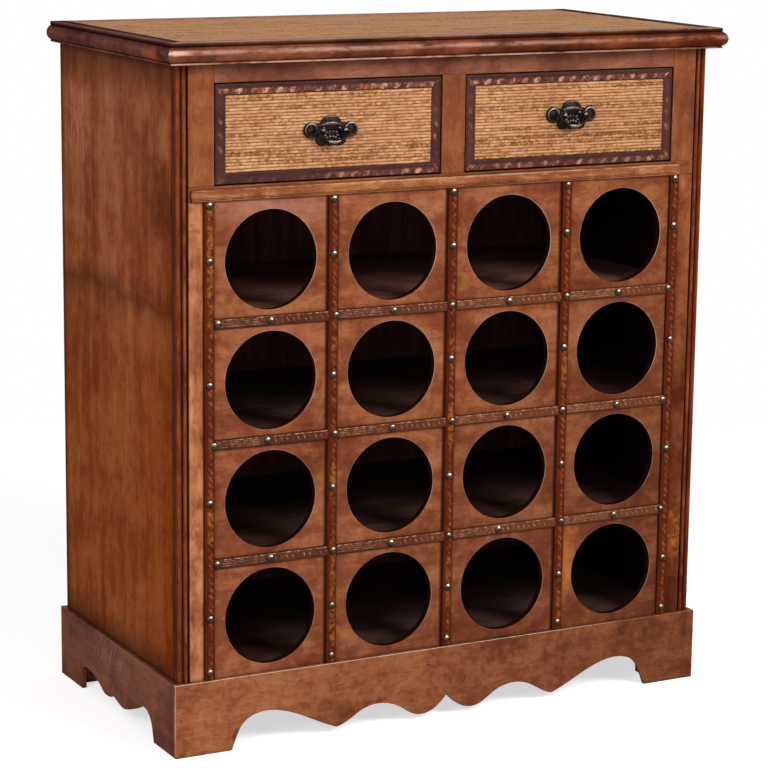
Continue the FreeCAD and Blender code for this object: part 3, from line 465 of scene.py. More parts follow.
def side_marks(place, colour):
    """A dark band across the side panel, paler wood above it, scratches at the top, dark edges, a painted shadow
    under the moulding, and painted shade on the inner face.
    """
    across, back, tall = parts(place)
    uneven = cloud(place, 28.0, 3.0, 0.6) * 0.05 + tall - 0.537
    band = ramp(worked_out("ABSOLUTE", uneven), (0.0, 0.55), (0.012, 0.3), (0.03, 0.0))
    colour = blend(band, colour, (0.05, 0.012, 0.006))
    colour = blend(ramp(tall, (0.38, 0.0), (0.72, 0.75)), colour, (1.15, 1.45, 2.4), "MULTIPLY")
    colour = patched(place, colour, 1, SIDE_PATCHES)
    pulled = cloud(vectors("MULTIPLY", place, (1.0, 1.0, 0.12)), 260.0, 3.0, 0.7)
    scratched = ramp(pulled, (0.50, 0.0), (0.62, 1.0)) * spot(place, 1, (0.125, 0.69), (0.045, 0.06), 30.0)
    colour = blend(scratched * 0.55, colour, (0.48, 0.22, 0.13))
    near = ramp(back + 0.5, (0.345, 1.0), (0.47, 0.0)) * ramp(tall, (0.50, 1.0), (0.68, 0.25))
    colour = blend(near, colour, (0.78, 0.60, 0.42), "MULTIPLY")
    rear = ramp(back, (0.168, 0.0), (0.179, 0.9))
    # Painted shadow under the moulding
    under = ramp(tall, (0.735, 0.0), (0.783, 0.75))
    low = ramp(tall, (0.088, 0.8), (0.125, 0.0))
    # Painted shade on the inner face
    inside = ramp(worked_out("ABSOLUTE", across), (0.331, 1.0), (0.342, 0.0))
    for share, other in ((rear, (0.03, 0.008, 0.005)), (under, (0.05, 0.014, 0.009)),
                         (low, (0.06, 0.015, 0.007)), (inside, (0.012, 0.005, 0.004))):
        colour = blend(share, colour, other)
    return colour


def plinth_side_marks(place, colour):
    """A dark band beside the front corner, and pale slanting scratches under the upper edge."""
    back, tall = parts(place)[1:]
    front = ramp(back + 0.5, (0.330, 0.85), (0.340, 0.35), (0.352, 0.0))
    colour = blend(front, colour, (0.035, 0.009, 0.006))
    slanted = out_of("CombineXYZ", {"X": tall * 0.5 + back, "Y": tall * 0.06})
    scratch = ramp(cloud(slanted, 220.0, 2.0, 0.7), (0.52, 0.0), (0.66, 1.0))
    here = ramp(back + 0.5, (0.44, 0.0), (0.49, 1.0), (0.55, 1.0), (0.60, 0.0))
    raised = ramp(tall, (0.040, 0.0), (0.062, 1.0))
    return blend(scratch * here * raised * 0.55, colour, (0.40, 0.22, 0.17))


def front_moulding_marks(place, colour):
    """Painted shade: darker and redder towards the right."""
    right = ramp(parts(place)[0] + 0.5, (0.35, 0.0), (0.80, 1.0))
    return blend(right, colour, (0.68, 0.42, 0.24), "MULTIPLY")


def side_moulding_marks(place, colour):
    """A red patch by the front corner, and a purple flat above it that is a painted reflection."""
    colour = patched(place, colour, 1, [((-0.130, 0.797), (0.035, 0.014), 60.0, 0.7, (0.34, 0.085, 0.035))])
    back, tall = parts(place)[1:]
    # Painted reflection on the flat
    flat = ramp(tall, (0.8105, 0.0), (0.8115, 1.0)) * ramp(back + 0.5, (0.40, 1.0), (0.66, 0.25))
    return blend(flat * 0.6, colour, (0.24, 0.10, 0.11))


def inner_face(place, colour):
    """Painted light: the back panel's inner face, seen through the holes, is made brighter."""
    return blend(ramp(parts(place)[1], (0.1735, 1.0), (0.1755, 0.0)), colour, (2.9, 2.3, 2.4), "MULTIPLY")


# The dark, middle, light and rubbed colour of each wood, and how its grain differs from the usual
WORN_EDGE = (0.46, 0.23, 0.13)
WORN_INSIDE = (0.16, 0.09, 0.055)
EVEN = dict(golden=0.0, fade=0.0)
INSIDE = dict(rough=0.5, **EVEN)
CASE = ((0.12, 0.029, 0.010), (0.235, 0.063, 0.019), (0.34, 0.112, 0.037), WORN_EDGE)
INNER = ((0.045, 0.018, 0.013), (0.12, 0.046, 0.031), (0.19, 0.076, 0.052), WORN_INSIDE)
# Lighter tones for the top shelf as painted light, darker tones for the lower shelves as painted shade
LIT_SHELF = ((0.09, 0.035, 0.026), (0.19, 0.080, 0.056), (0.30, 0.145, 0.105), WORN_INSIDE)
SHADED_LOW_SHELVES = ((0.025, 0.010, 0.008), (0.065, 0.029, 0.021), (0.11, 0.055, 0.040), WORN_INSIDE)
DRAWER = ((0.30, 0.17, 0.08), (0.47, 0.30, 0.16), (0.60, 0.42, 0.25), (0.66, 0.50, 0.33))
case_upright = wood("case_wood_upright", ALONG_Z, *CASE, sheen=0.12, fade=0.9, grain=0.8)
case_level = wood("case_wood_level", ALONG_X, *CASE, fade=0.9, grain=0.8)
case_side = wood("case_wood_side", ALONG_Z, (0.155, 0.032, 0.008), (0.265, 0.064, 0.017),
                 (0.37, 0.118, 0.037), WORN_EDGE, fibre=0.22, grain=0.75, broad=0.6, blotch=0.7, sheen=0.0,
                 extra=side_marks, **EVEN)
# A lighter copy of the case wood: painted sheen on the lower stiles
low_stile_wood_with_sheen = wood("low_stile_wood_with_sheen", ALONG_Z, (0.19, 0.052, 0.020), (0.42, 0.142, 0.056),
                      (0.56, 0.24, 0.115), WORN_EDGE, grain=0.9, golden=0.3, fade=1.6, blotch=1.4, mottle=0.6,
                      sheen=0.03, extra=stile_marks)
plinth_wood = wood("plinth_wood", ALONG_X, (0.15, 0.042, 0.017), (0.30, 0.092, 0.034), (0.42, 0.160, 0.066),
                   (0.80, 0.60, 0.46), wear=1.0, wear_start=0.40, fade=0.8, grain=0.7, mottle=0.9, pores=0.35)
plinth_side_wood = wood("plinth_side_wood", ALONG_Y, (0.08, 0.020, 0.010), (0.175, 0.046, 0.022),
                        (0.27, 0.088, 0.046), (0.50, 0.30, 0.21), sheen=0.05, grain=0.8,
                        extra=plinth_side_marks, **EVEN)
rail_wood = wood("rail_wood", ALONG_X, (0.10, 0.028, 0.016), (0.20, 0.064, 0.034), (0.31, 0.115, 0.064),
                 WORN_EDGE, golden=0.1, fade=0.5, blotch=1.3)
bead_wood = wood("bead_wood", ALONG_Z, (0.07, 0.013, 0.004), (0.145, 0.026, 0.006), (0.24, 0.050, 0.014),
                 (0.32, 0.105, 0.045), golden=0.0, fade=0.45, sheen=0.02)
rack_wood = wood("rack_wood", ALONG_X, (0.125, 0.028, 0.010), (0.235, 0.066, 0.025), (0.40, 0.150, 0.066),
                 (0.50, 0.34, 0.28), sheen=0.05, grain=0.6, fibre=0.25, mottle=0.5, pores=0.3, blotch=0.85,
                 golden=0.35, fade=1.0, wear=1.0, wear_start=0.40, extra=rack_marks)
mid_wood = wood("mid_strip_wood", ALONG_X, (0.16, 0.046, 0.016), (0.36, 0.125, 0.046), (0.56, 0.245, 0.100),
                (0.62, 0.38, 0.24), grain=1.6, fibre=0.7, golden=0.4, fade=0.4)
# Its rubbed colour is also the painted highlight on the nose
moulding_level = wood("moulding_wood_level", ALONG_X, (0.05, 0.013, 0.007), (0.16, 0.042, 0.018),
                      (0.34, 0.115, 0.052), (0.66, 0.38, 0.28), wear=0.85, wear_start=0.46, sheen=0.015,
                      rough=0.36, extra=front_moulding_marks, **EVEN)
# Its rubbed colour is also the painted highlight along the side moulding's front
moulding_deep = wood("moulding_wood_deep", ALONG_Y, (0.045, 0.015, 0.012), (0.12, 0.039, 0.028),
                     (0.21, 0.075, 0.052), (0.50, 0.27, 0.24), wear=0.7, sheen=0.0, blotch=0.9,
                     extra=side_moulding_marks, **EVEN)
inner_level = wood("inner_wood_level", ALONG_X, *INNER, **INSIDE)
inner_deep = wood("inner_wood_deep", ALONG_Y, *INNER, **INSIDE)
inner_upright = wood("inner_wood_upright", ALONG_Z, *INNER, blotch=0.3, mottle=0.15, grain=1.3, fibre=0.7,
                     broad=0.3, extra=inner_face, **INSIDE)
lit_shelf_wood = wood("lit_shelf_wood", ALONG_X, *LIT_SHELF, **INSIDE)
shaded_low_shelves = wood("shaded_low_shelves", ALONG_X, *SHADED_LOW_SHELVES, **INSIDE)
drawer_level = wood("drawer_wood_level", ALONG_X, *DRAWER, shade_and_dirt=0.4, blotch=0.3, **INSIDE)
drawer_deep = wood("drawer_wood_deep", ALONG_Y, *DRAWER, shade_and_dirt=0.4, blotch=0.3, **INSIDE)

# Leather, grass and metal


def leather(name, ground, gold, rubbed, rub, start, sheen, braid_tones, hue_size=14.0, right=None):
    """Dark embossed leather, rubbed pale on what stands up. Right is its colour towards the right."""
    made, shader, place = new_finish(name)
    relief = measure("relief")
    from_left = parts(place)[0] + 0.5
    fine = cloud(place, 500.0, 2.0, 0.6)
    speck = cloud(place, 210.0, 2.0, 0.6)
    hue = ramp(cloud(place, hue_size, 2.0), (0.34, 0.0), (0.50, 1.0))
    hue = held(hue - spot(place, 0, (-0.308, 0.56), (0.04, 0.07)))
    hue = held(hue + ramp(from_left, (0.68, 0.0), (0.78, 0.9)))
    braid = blend(ramp(speck, (0.40, 0.9), (0.55, 0.0)), blend(hue, *braid_tones), (0.07, 0.014, 0.005))
    base = blend(ramp(cloud(place, 30.0, 3.0, 0.6), (0.35, 0.0), (0.65, 1.0)), ground, gold)
    base = blend(measure("core"), base, braid)
    if right:
        base = blend(ramp(from_left, (0.30, 0.0), (0.62, 0.85)), base, right)
    uneven = ramp(fine * 0.35 + speck * 0.8, (0.50, 0.05), (0.72, 1.0))
    colour = blend(held((relief - start) * 2.6) * uneven * rub, base, rubbed)
    # Painted shade in the hollows and on the side faces, then painted shade with dirt in corners
    colour = blend(held((0.42 - relief) * 1.9), colour, (0.022, 0.005, 0.004))
    corner = placed(CORNER_SHADE_AND_DIRT, Place=place, Amount=0.8, Reach=0.004)["Mask"]
    colour = blend(corner, colour, (0.02, 0.006, 0.004))
    creases = out_of("TexVoronoi", {"Vector": place, "Scale": 900.0}, feature="DISTANCE_TO_EDGE")
    settle(shader, colour, fine * 0.25 + 0.34, creases * 2.0 + fine * 0.5, LEATHER_DEPTH,
           Specular_IOR_Level=sheen)
    return made


strip_leather = leather("strip_leather", (0.066, 0.011, 0.004), (0.10, 0.020, 0.005), (0.47, 0.185, 0.085),
                        0.7, 0.60, 0.01, ((0.235, 0.070, 0.009), (0.115, 0.0155, 0.0035)))
cross_leather = leather("cross_leather", (0.062, 0.017, 0.010), (0.11, 0.029, 0.014), (0.70, 0.37, 0.235),
                        1.0, 0.50, 0.05, ((0.3, 0.08, 0.03), (0.3, 0.08, 0.03)), right=(0.135, 0.039, 0.015))
border_leather = leather("border_leather", (0.038, 0.012, 0.012), (0.070, 0.022, 0.018), (0.56, 0.275, 0.165),
                         1.0, 0.48, 0.08, ((0.30, 0.100, 0.055), (0.11, 0.034, 0.028)), hue_size=22.0)


def grass(name, straw, tan, brown, red, seam_shade, soft=0.0):
    """Thin grass threads side by side: straw, tan and reddish rows, painted shade where they part, and unless
    soft, painted shade towards the right.
    """
    made, shader, place = new_finish(name)
    lift, strand, cord = (measure(label) for label in ("lift", "strand", "cord"))
    drift, knots, fine, patches = (
        cloud(vectors("MULTIPLY", place, (along, 1.0, 1.0)), scale, detail, rough)
        for along, scale, detail, rough in ((0.22, 150.0, 3.0, 0.7), (0.8, 380.0, 2.0, 0.65),
                                            (0.12, 1500.0, 2.0, 0.7), (0.6, 26.0, 3.0, 0.6)))
    shade = drift * 0.9 + cord * 0.36 + knots * 1.3 + strand * 0.10 + fine * 0.45 + patches * (0.9 * soft)
    colour = ramp(shade - (0.80 + 0.45 * soft), (0.34, brown), (0.56, tan), (0.82, straw))
    colour = blend(ramp(cord * 0.35 + patches, (0.58, 0.0), (0.82, 0.7)) * 0.5, colour, red)
    sunned = ramp(cloud(place, 11.0, 2.0, 0.5), (0.45, 0.0), (0.62, 1.0)) * (0.1 + 0.35 * soft)
    colour = blend(sunned, colour, (0.93, 1.06, 0.62), "MULTIPLY")
    # Painted shade where the threads part
    colour = blend(ramp(lift, (0.30, 1.0), (0.90, 0.0)) * (0.80 - 0.48 * soft), colour, seam_shade)
    # Painted shade towards the right, unless soft
    right = ramp(parts(place)[0] + 0.5, (0.45, 0.0), (0.80, 0.8 - 0.8 * soft))
    colour = blend(right, colour, (0.86, 0.81, 0.76), "MULTIPLY")
    settle(shader, colour, fine * 0.2 + 0.6, fine, GRASS_DEPTH, strength=0.5, Specular_IOR_Level=0.12)
    return made


drawer_grass = grass("drawer_grass", (0.66, 0.35, 0.165), (0.355, 0.148, 0.051), (0.17, 0.055, 0.016),
                     (0.37, 0.115, 0.055), (0.13, 0.042, 0.013))
top_grass = grass("top_grass", (0.52, 0.272, 0.128), (0.325, 0.148, 0.066), (0.18, 0.067, 0.030),
                  (0.39, 0.13, 0.075), (0.25, 0.10, 0.045), soft=1.0)


def metal(name, deep, body, bright, rough, rubbed):
    """Dark patina, painted bright where the relief mark passes the share that rubbed gives. The mark holds painted
    highlights as well as rubbed places.
    """
    made, shader, place = new_finish(name)
    patina = cloud(place, 260.0, 3.0, 0.65)
    base = blend(ramp(patina, (0.35, 0.0), (0.65, 1.0)), deep, body)
    # Painted highlight and rubbing, where the relief mark is high
    top = held((measure("relief") - rubbed) * 3.0) * ramp(patina, (0.3, 0.35), (0.6, 1.0))
    settle(shader, blend(top, base, bright), patina * 0.25 + (rough - 0.12), cloud(place, 1300.0, 2.0, 0.6),
           METAL_DEPTH, Metallic=1.0)
    return made


aged_bronze = metal("aged_bronze", (0.010, 0.007, 0.006), (0.031, 0.019, 0.016), (0.36, 0.29, 0.255),
                    0.38, 0.78)
nail_brass = metal("nail_brass", (0.032, 0.022, 0.014), (0.088, 0.060, 0.037), (0.62, 0.51, 0.38),
                   0.30, 0.72)

# Boards: the node's own form with eased, rubbed edges

EASED_TURN = math.radians(25)
DENT_SIZE = 0.011
DENT_DEPTH = 0.5 * MM
WELD, FLAT_ANGLE = 1e-6, 0.005


def node_mesh(node, *marks):
    """The node's own mesh, welded and with its flat faces whole."""
    source = NODES[node].data
    shape = blank(*marks)
    places = [shape.verts.new(vertex.co) for vertex in source.vertices]
    for polygon in source.polygons:
        shape.faces.new([places[index] for index in polygon.vertices])
    bmesh.ops.remove_doubles(shape, verts=shape.verts, dist=WELD)
    bmesh.ops.dissolve_limit(shape, angle_limit=FLAT_ANGLE, verts=shape.verts, edges=shape.edges)
    return shape


def sharp_edges(shape):
    return [edge for edge in shape.edges if len(edge.link_faces) == 2 and edge.calc_face_angle() > EASED_TURN]


def eased_copy(node, easing, dent=DENT_DEPTH, step=0.016, rows=3, rub=0.6):
    """The node's mesh with rounded edges, small dents along them, and a mark of how much each is rubbed."""
    shape = node_mesh(node, "edge", "board")
    for edge in sharp_edges(shape):
        start = edge.verts[0]
        for left in range(int(edge.calc_length() / step), 0, -1):
            start = bmesh.utils.edge_split(edge, start, 1 / (left + 1))[1]
    rounded = bmesh.ops.bevel(shape, geom=sharp_edges(shape), offset=easing * MM, offset_type="OFFSET",
                              segments=rows, profile=0.5, affect="EDGES", clamp_overlap=True)
    strips = set(rounded["faces"])
    edge_mark, board_mark = mark(shape, "edge"), mark(shape, "board")
    number = random.Random(node).random()
    shape.normal_update()
    for vertex in shape.verts:
        vertex[board_mark] = number
        if vertex.link_faces and all(face in strips for face in vertex.link_faces):
            vertex[edge_mark] = rub(vertex.co) if callable(rub) else rub
            vertex.co -= vertex.normal * (max(0.0, wobble(*vertex.co, DENT_SIZE) + 0.1) * dent)
    return shape


def board(node, finish, easing=1.0, **options):
    piece(node + "_board", eased_copy(node, easing, **options), node, finish)


PLINTH_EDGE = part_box("plinth_front")[1].z - 2 * MM


def front_plinth_wear_and_highlight(place):
    """The upper edge is rubbed and painted with a highlight, less towards the right, and the left corner is rubbed
    more than the rest.
    """
    if place.z > PLINTH_EDGE:
        return 1.0 - 0.85 * ease(place.x, 0.08, 0.32)
    return 0.8 if place.x < -0.345 else 0.12


def rub_side_plinth(place):
    """The upper edge is rubbed in the middle of its length."""
    if place.z > PLINTH_EDGE:
        return 0.25 + 0.75 * bell(place.y + 0.02, 0.07)
    return 0.15


for side in ("left", "right"):
    board("side_panel_" + side, case_side, rub=0.1)
    board("stile_lower_" + side, low_stile_wood_with_sheen, rub=0.35)
    board("stile_upper_" + side, case_upright, rub=0.35)
    board("plinth_" + side, plinth_side_wood, easing=1.1, step=0.012, rub=rub_side_plinth)
board("mullion", case_upright, easing=0.8, rub=0.35)
board("top_rail", rail_wood, easing=0.8, rub=0.35)
board("mid_rail", case_level, easing=0.8, rub=0.3)
board("plinth_front", plinth_wood, easing=1.4, step=0.012, rows=4, rub=front_plinth_wear_and_highlight)
board("plinth_back", case_level)
board("back_panel", inner_upright, easing=0.6)
board("top_back_rail", case_level)

HOLE_RADIUS, LOWEST_HOLE, ROW_PITCH = 56.7 * MM, 153.55 * MM, 137.9 * MM
ROWS = COLUMNS = 4
RIM_REACH, RIM_DEPTH = 2 * MM, (0.02, 0.85)
# Where the bores start to be painted dark as shade, and the upper arc of each rim that gets a painted highlight
BORE_SHADE, HIGHLIGHT_ARC = (0.45, 0.9), (-0.85, -0.35)


def rack_board():
    """The rack board: pale rims, painted as highlights, round the upper part of each hole, and bores painted dark
    as shade.
    """
    node = "rack_front_board"
    shape = eased_copy(node, 0.9, dent=0.3 * MM, rub=0.0)
    edge_mark, deep_mark = mark(shape, "edge"), mark(shape, "deep")
    low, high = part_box(node)
    pitch = (high.x - low.x) / COLUMNS
    holes = [(low.x + (column + 0.5) * pitch, LOWEST_HOLE + row * ROW_PITCH) for column in range(COLUMNS)
             for row in range(ROWS)]
    for vertex in shape.verts:
        near = min(holes, key=lambda hole: (hole[0] - vertex.co.x) ** 2 + (hole[1] - vertex.co.z) ** 2)
        x, z = vertex.co.x - near[0], vertex.co.z - near[1]
        if math.hypot(x, z) > HOLE_RADIUS + RIM_REACH:
            continue
        inwards = (vertex.co.y - low.y) / MM
        # Painted shade on the bore
        vertex[deep_mark] = ease(inwards, *BORE_SHADE)
        if RIM_DEPTH[0] < inwards < RIM_DEPTH[1]:
            row = ease(near[1], LOWEST_HOLE, LOWEST_HOLE + (ROWS - 1) * ROW_PITCH)
            # Painted highlight on the upper arc of the rim, paler on higher rows
            vertex[edge_mark] = (0.34 + 0.42 * row) * (0.08 + 0.92 * ease(z / HOLE_RADIUS, *HIGHLIGHT_ARC))
    piece(node + "_board", shape, node, rack_wood)


rack_board()

# Proud strip on the middle rail: height from its lower edge, depth behind its face, rubbing, and painted shade in
# its grooves and under it
MID_STRIP = [(0.0, 3.5, 0, 0.6), (0.0, 0.9, 0, 0.6), (0.3, 0.25, 0.1, 0.3), (0.9, 0.0, 0, 0),
             (1.5, 0.0, 0, 0), (1.9, 0.6, 0, 1), (2.4, 0.0, 0, 0), (3.1, 0.0, 0, 0), (3.5, 0.5, 0, 0.9),
             (4.0, 0.0, 0, 0), (7.5, 0.0, 0, 0), (11.4, 0.0, 0, 0), (12.2, 0.12, 0.7, 0),
             (12.75, 0.5, 1.0, 0), (13.0, 1.1, 0.9, 0), (13.0, 3.5, 0.3, 0)]
STRIP_MIDDLE, STRIP_DEPTH, STRIP_LENGTHS = 6.5, 3.5, 240
BROKEN_END, BROKEN_DEPTH = 5.5, 1.6
CHIPPED_FROM = 12


def mid_strip():
    """The strip, rounded where its right end is broken short, and chipped along its upper edge."""
    node = "mid_strip"
    low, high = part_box(node)
    shape = blank("edge", "board", "deep")
    rings = []
    for index in range(STRIP_LENGTHS + 1):
        x = low.x + (high.x - low.x) * index / STRIP_LENGTHS
        left = (high.x - x) / MM
        keep = math.sqrt(max(0.04, 1 - clamp(1 - left / BROKEN_END) ** 2))
        chip = 0.5 * max(0.0, wobble(x, 0.3, 0.1, 0.02)) + 0.45 * bell(left - 9, 4)
        ring = []
        for tall, back, edge, deep in MID_STRIP:
            tall = STRIP_MIDDLE + (tall - STRIP_MIDDLE) * keep - (chip if tall > CHIPPED_FROM else 0)
            back = max(back, BROKEN_DEPTH * (1 - keep)) + (chip * 0.4 if tall > CHIPPED_FROM else 0)
            ring.append((Vector((x, low.y + min(back, STRIP_DEPTH) * MM, low.z + tall * MM)),
                         {"edge": edge, "board": 0.37, "deep": deep}))
        rings.append(ring)
    loft(shape, rings)
    piece(node + "_length", shape, node, mid_wood, crease=50)


mid_strip()

# Corner posts: a bead on the corner and a reed beside it on each face

BEAD_STEPS, REED_STEPS, POST_LENGTHS = 18, 12, 70
BEAD, REED, REED_GAP, QUIRK, POST = 3.2, 2.9, 0.8, 3.0, 15.0
# How much the side face of the post is painted dark as shade
SIDE_RUB, SIDE_SHADE = 0.25, 0.35
UNEVEN = 0.10 * MM


def post_section():
    """Inset from the side and from the front, rubbing, and painted shade in grooves and on the side face, from the
    post's inner front corner on.
    """
    middle = BEAD * 2 + REED_GAP + REED
    reed = []
    for step in range(REED_STEPS + 1):
        turn = math.pi * step / REED_STEPS
        reed.append((middle + REED * math.cos(turn), REED - REED * math.sin(turn),
                     bell(turn - math.pi / 2, 0.9),
                     (0.25 if turn > 1.57 else 0.85) * (1 - ease(math.sin(turn), 0.0, 0.5))))
    front = [(POST, QUIRK, 0, 0.9)] + reed + [(BEAD * 2 + REED_GAP * 0.5, QUIRK, 0, 0.3)]
    bead = []
    start = math.asin((QUIRK - BEAD) / -BEAD)
    for step in range(BEAD_STEPS + 1):
        turn = start + (math.radians(270) - 2 * start) * step / BEAD_STEPS
        bead.append((BEAD + BEAD * math.cos(turn), BEAD - BEAD * math.sin(turn),
                     0.9 * bell(turn - math.radians(115), 0.8),
                     0.25 * (1 - ease(turn - start, 0.0, 0.5)) + 0.8 * ease(turn, 3.4, 4.2)))
    side = [(second, first, rubbed * SIDE_RUB, max(deep, SIDE_SHADE))
            for first, second, rubbed, deep in reversed(front)]
    return front + bead + side + [(POST, POST, 0, 0)]


def corner_post(side):
    node = "corner_bead_" + side
    low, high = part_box(node)
    outer, inwards = (low.x, 1) if side == "left" else (high.x, -1)
    shape = blank("edge", "board", "deep")
    rings = []
    for number in range(POST_LENGTHS + 1):
        z = low.z + (high.z - low.z) * number / POST_LENGTHS
        ring = []
        for across, back, rubbed, deep in post_section():
            uneven = UNEVEN * abs(wobble(across * 0.01, back * 0.01, z, 0.03)) * (rubbed > 0.2)
            ring.append((Vector((outer + inwards * (across * MM + uneven), low.y + back * MM + uneven, z)),
                         {"edge": rubbed * 0.7, "board": 0.4, "deep": deep}))
        rings.append(ring)
    loft(shape, rings)
    piece(node + "_turned", shape, node, bead_wood, crease=45)


for side in ("left", "right"):
    corner_post(side)

# Top: mitred moulding with a rounded nose, and a woven panel in it

NOSE_STEPS = 14
FLAT, NOSE = 21.0, 5.2
LOWER_FILLET, NOSE_HEIGHT, UPPER_FILLET = 2.8, 16.8, 4.8
MOULDING_STEP = 0.009
CHIP, CHIP_SIZE, UNEVEN_SIZE = 0.5 * MM, 0.012, 0.05


def moulding_section():
    """Distance out from the woven panel, height, wear with painted highlights, painted shade in grooves, and part,
    all round the section.
    """
    full = LOWER_FILLET + NOSE_HEIGHT + UPPER_FILLET
    line = [(0.0, 0.0, 0, 0, "under"), (FLAT - 0.8, 0.0, 0, 0.3, "under"), (FLAT - 0.2, 0.15, 0.6, 0, "low"),
            (FLAT, 0.6, 0.9, 0, "low"), (FLAT, 1.7, 0.9, 0, "low"), (FLAT - 0.1, 2.1, 0.4, 0.4, "low"),
            (FLAT - 0.7, LOWER_FILLET, 0, 1, "quirk")]
    bulge = (NOSE ** 2 + NOSE_HEIGHT ** 2 / 4) / (2 * NOSE)
    half = math.asin(NOSE_HEIGHT / 2 / bulge)
    # The nose: a painted highlight on its upper part, and painted shade in the quirks at its ends
    for step in range(NOSE_STEPS + 1):
        turn = -half + 2 * half * step / NOSE_STEPS
        line.append((FLAT + NOSE - bulge + bulge * math.cos(turn) - 0.12,
                     LOWER_FILLET + NOSE_HEIGHT / 2 + bulge * math.sin(turn), 0.60 * bell(turn - 0.26, 0.42),
                     0.9 * (1 - ease(min(turn + half, half - turn), 0.0, 0.22)), "nose"))
    # The upper fillet and flat: painted shade in the quirk and on a line of the flat, and painted highlights with
    # wear along the arris and the outer flat
    line += [(FLAT - 0.7, full - UPPER_FILLET, 0, 1, "quirk"),
             (FLAT, full - UPPER_FILLET + 0.6, 0, 0.9, "high"), (FLAT, full - 1.5, 0.05, 0.6, "high"),
             (FLAT - 0.12, full - 0.7, 0.4, 0, "arris"),
             (FLAT - 0.5, full - 0.2, 1.0, 0, "arris"), (FLAT - 1.3, full, 0.8, 0, "arris"),
             (FLAT - 2.6, full, 0.75, 0, "flat"), (14.0, full, 0.5, 0, "flat"), (11.5, full, 0, 0.6, "flat"),
             (8.0, full, 0, 0.9, "flat"), (5.5, full, 0.1, 0.3, "flat"), (2.0, full - 0.1, 0.1, 0.2, "flat"),
             (0.9, full - 0.2, 0, 0.8, "flat"), (0.0, full - 0.6, 0, 1, "flat")]
    return line


def front_wear_and_highlight(place, part, worn):
    """Where the front moulding is rubbed and painted with highlights: its mitre at the left, and a few chips along
    its upper edge.
    """
    if part == "nose":
        mitre = 1.2 * bell(place.x + 0.364, 0.034) * ease(worn, 0.0, 0.25)
        return worn * (1 - 0.45 * ease(place.x, -0.1, 0.3)) + mitre
    if part == "arris":
        return worn * (0.28 + 0.5 * bell(place.x + 0.045, 0.022) + 0.6 * bell(place.x - 0.325, 0.05)
                       + 0.9 * bell(place.x + 0.36, 0.02))
    return worn * (0.85 - 0.35 * ease(place.x, 0.0, 0.3))


# Wear, and a painted highlight along the side moulding near its front
def side_wear_and_highlight(place, part, worn):
    return worn * (0.18 if part in ("low", "nose") else 0.20 + 0.5 * bell(place.y + 0.15, 0.06))


def moulding(node, finish, corner, outwards, along, length, end_mitre, wear):
    """A length of moulding from a mitred inner corner. End mitre is 1 for a mitre at its far end too."""
    shape = blank("edge", "board", "deep")
    number = random.Random(node).random()
    rings = []
    count = int(length / MOULDING_STEP)
    for index in range(count + 1):
        ring = []
        for out, high, worn, deep, part in moulding_section():
            start, end = -out * MM, length + end_mitre * out * MM
            run = start + (end - start) * index / count
            place = corner + outwards * out * MM + along * run + Z_WAY * high * MM
            rubbed = wear(place, part, worn)
            chip = CHIP * max(0.0, wobble(*place, CHIP_SIZE)) * rubbed
            dent = chip + UNEVEN * abs(wobble(*place, UNEVEN_SIZE))
            if part in ("arris", "low"):
                slant = outwards + Z_WAY if part == "arris" else outwards
                place = place - slant * dent * 0.7
            elif part in ("nose", "quirk", "high"):
                place = place - outwards * dent
            ring.append((place, {"edge": rubbed, "board": number, "deep": deep}))
        rings.append(ring)
    loft(shape, rings)
    piece(node + "_length", shape, node, finish, crease=50)


inner_low, inner_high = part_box("top_weave")
body_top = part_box("top_rail")[1].z
front_left = Vector((inner_low.x, inner_low.y, body_top))
front_right = Vector((inner_high.x, inner_low.y, body_top))
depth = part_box("top_moulding_left")[1].y - inner_low.y
moulding("top_moulding_front", moulding_level, front_left, -Y_WAY, X_WAY, inner_high.x - inner_low.x, 1,
         front_wear_and_highlight)
moulding("top_moulding_left", moulding_deep, front_left, -X_WAY, Y_WAY, depth, 0, side_wear_and_highlight)
moulding("top_moulding_right", moulding_deep, front_right, X_WAY, Y_WAY, depth, 0, side_wear_and_highlight)

# Woven grass panels

CORD_PITCH = 3.6 * MM
CORD_PROFILE = (-0.5, -0.4, -0.24, 0.0, 0.24, 0.4)
SWAY, SWAY_SIZE = 0.6 * MM, 0.022
SWELL, SWELL_SIZE = 0.45, 0.007
SUNK, RISE, HIGHEST_LIFT = 0.25 * MM, 1.05 * MM, 1.2
TWISTS, THICKNESSES = (7.0, 11.0), (0.78, 1.0)


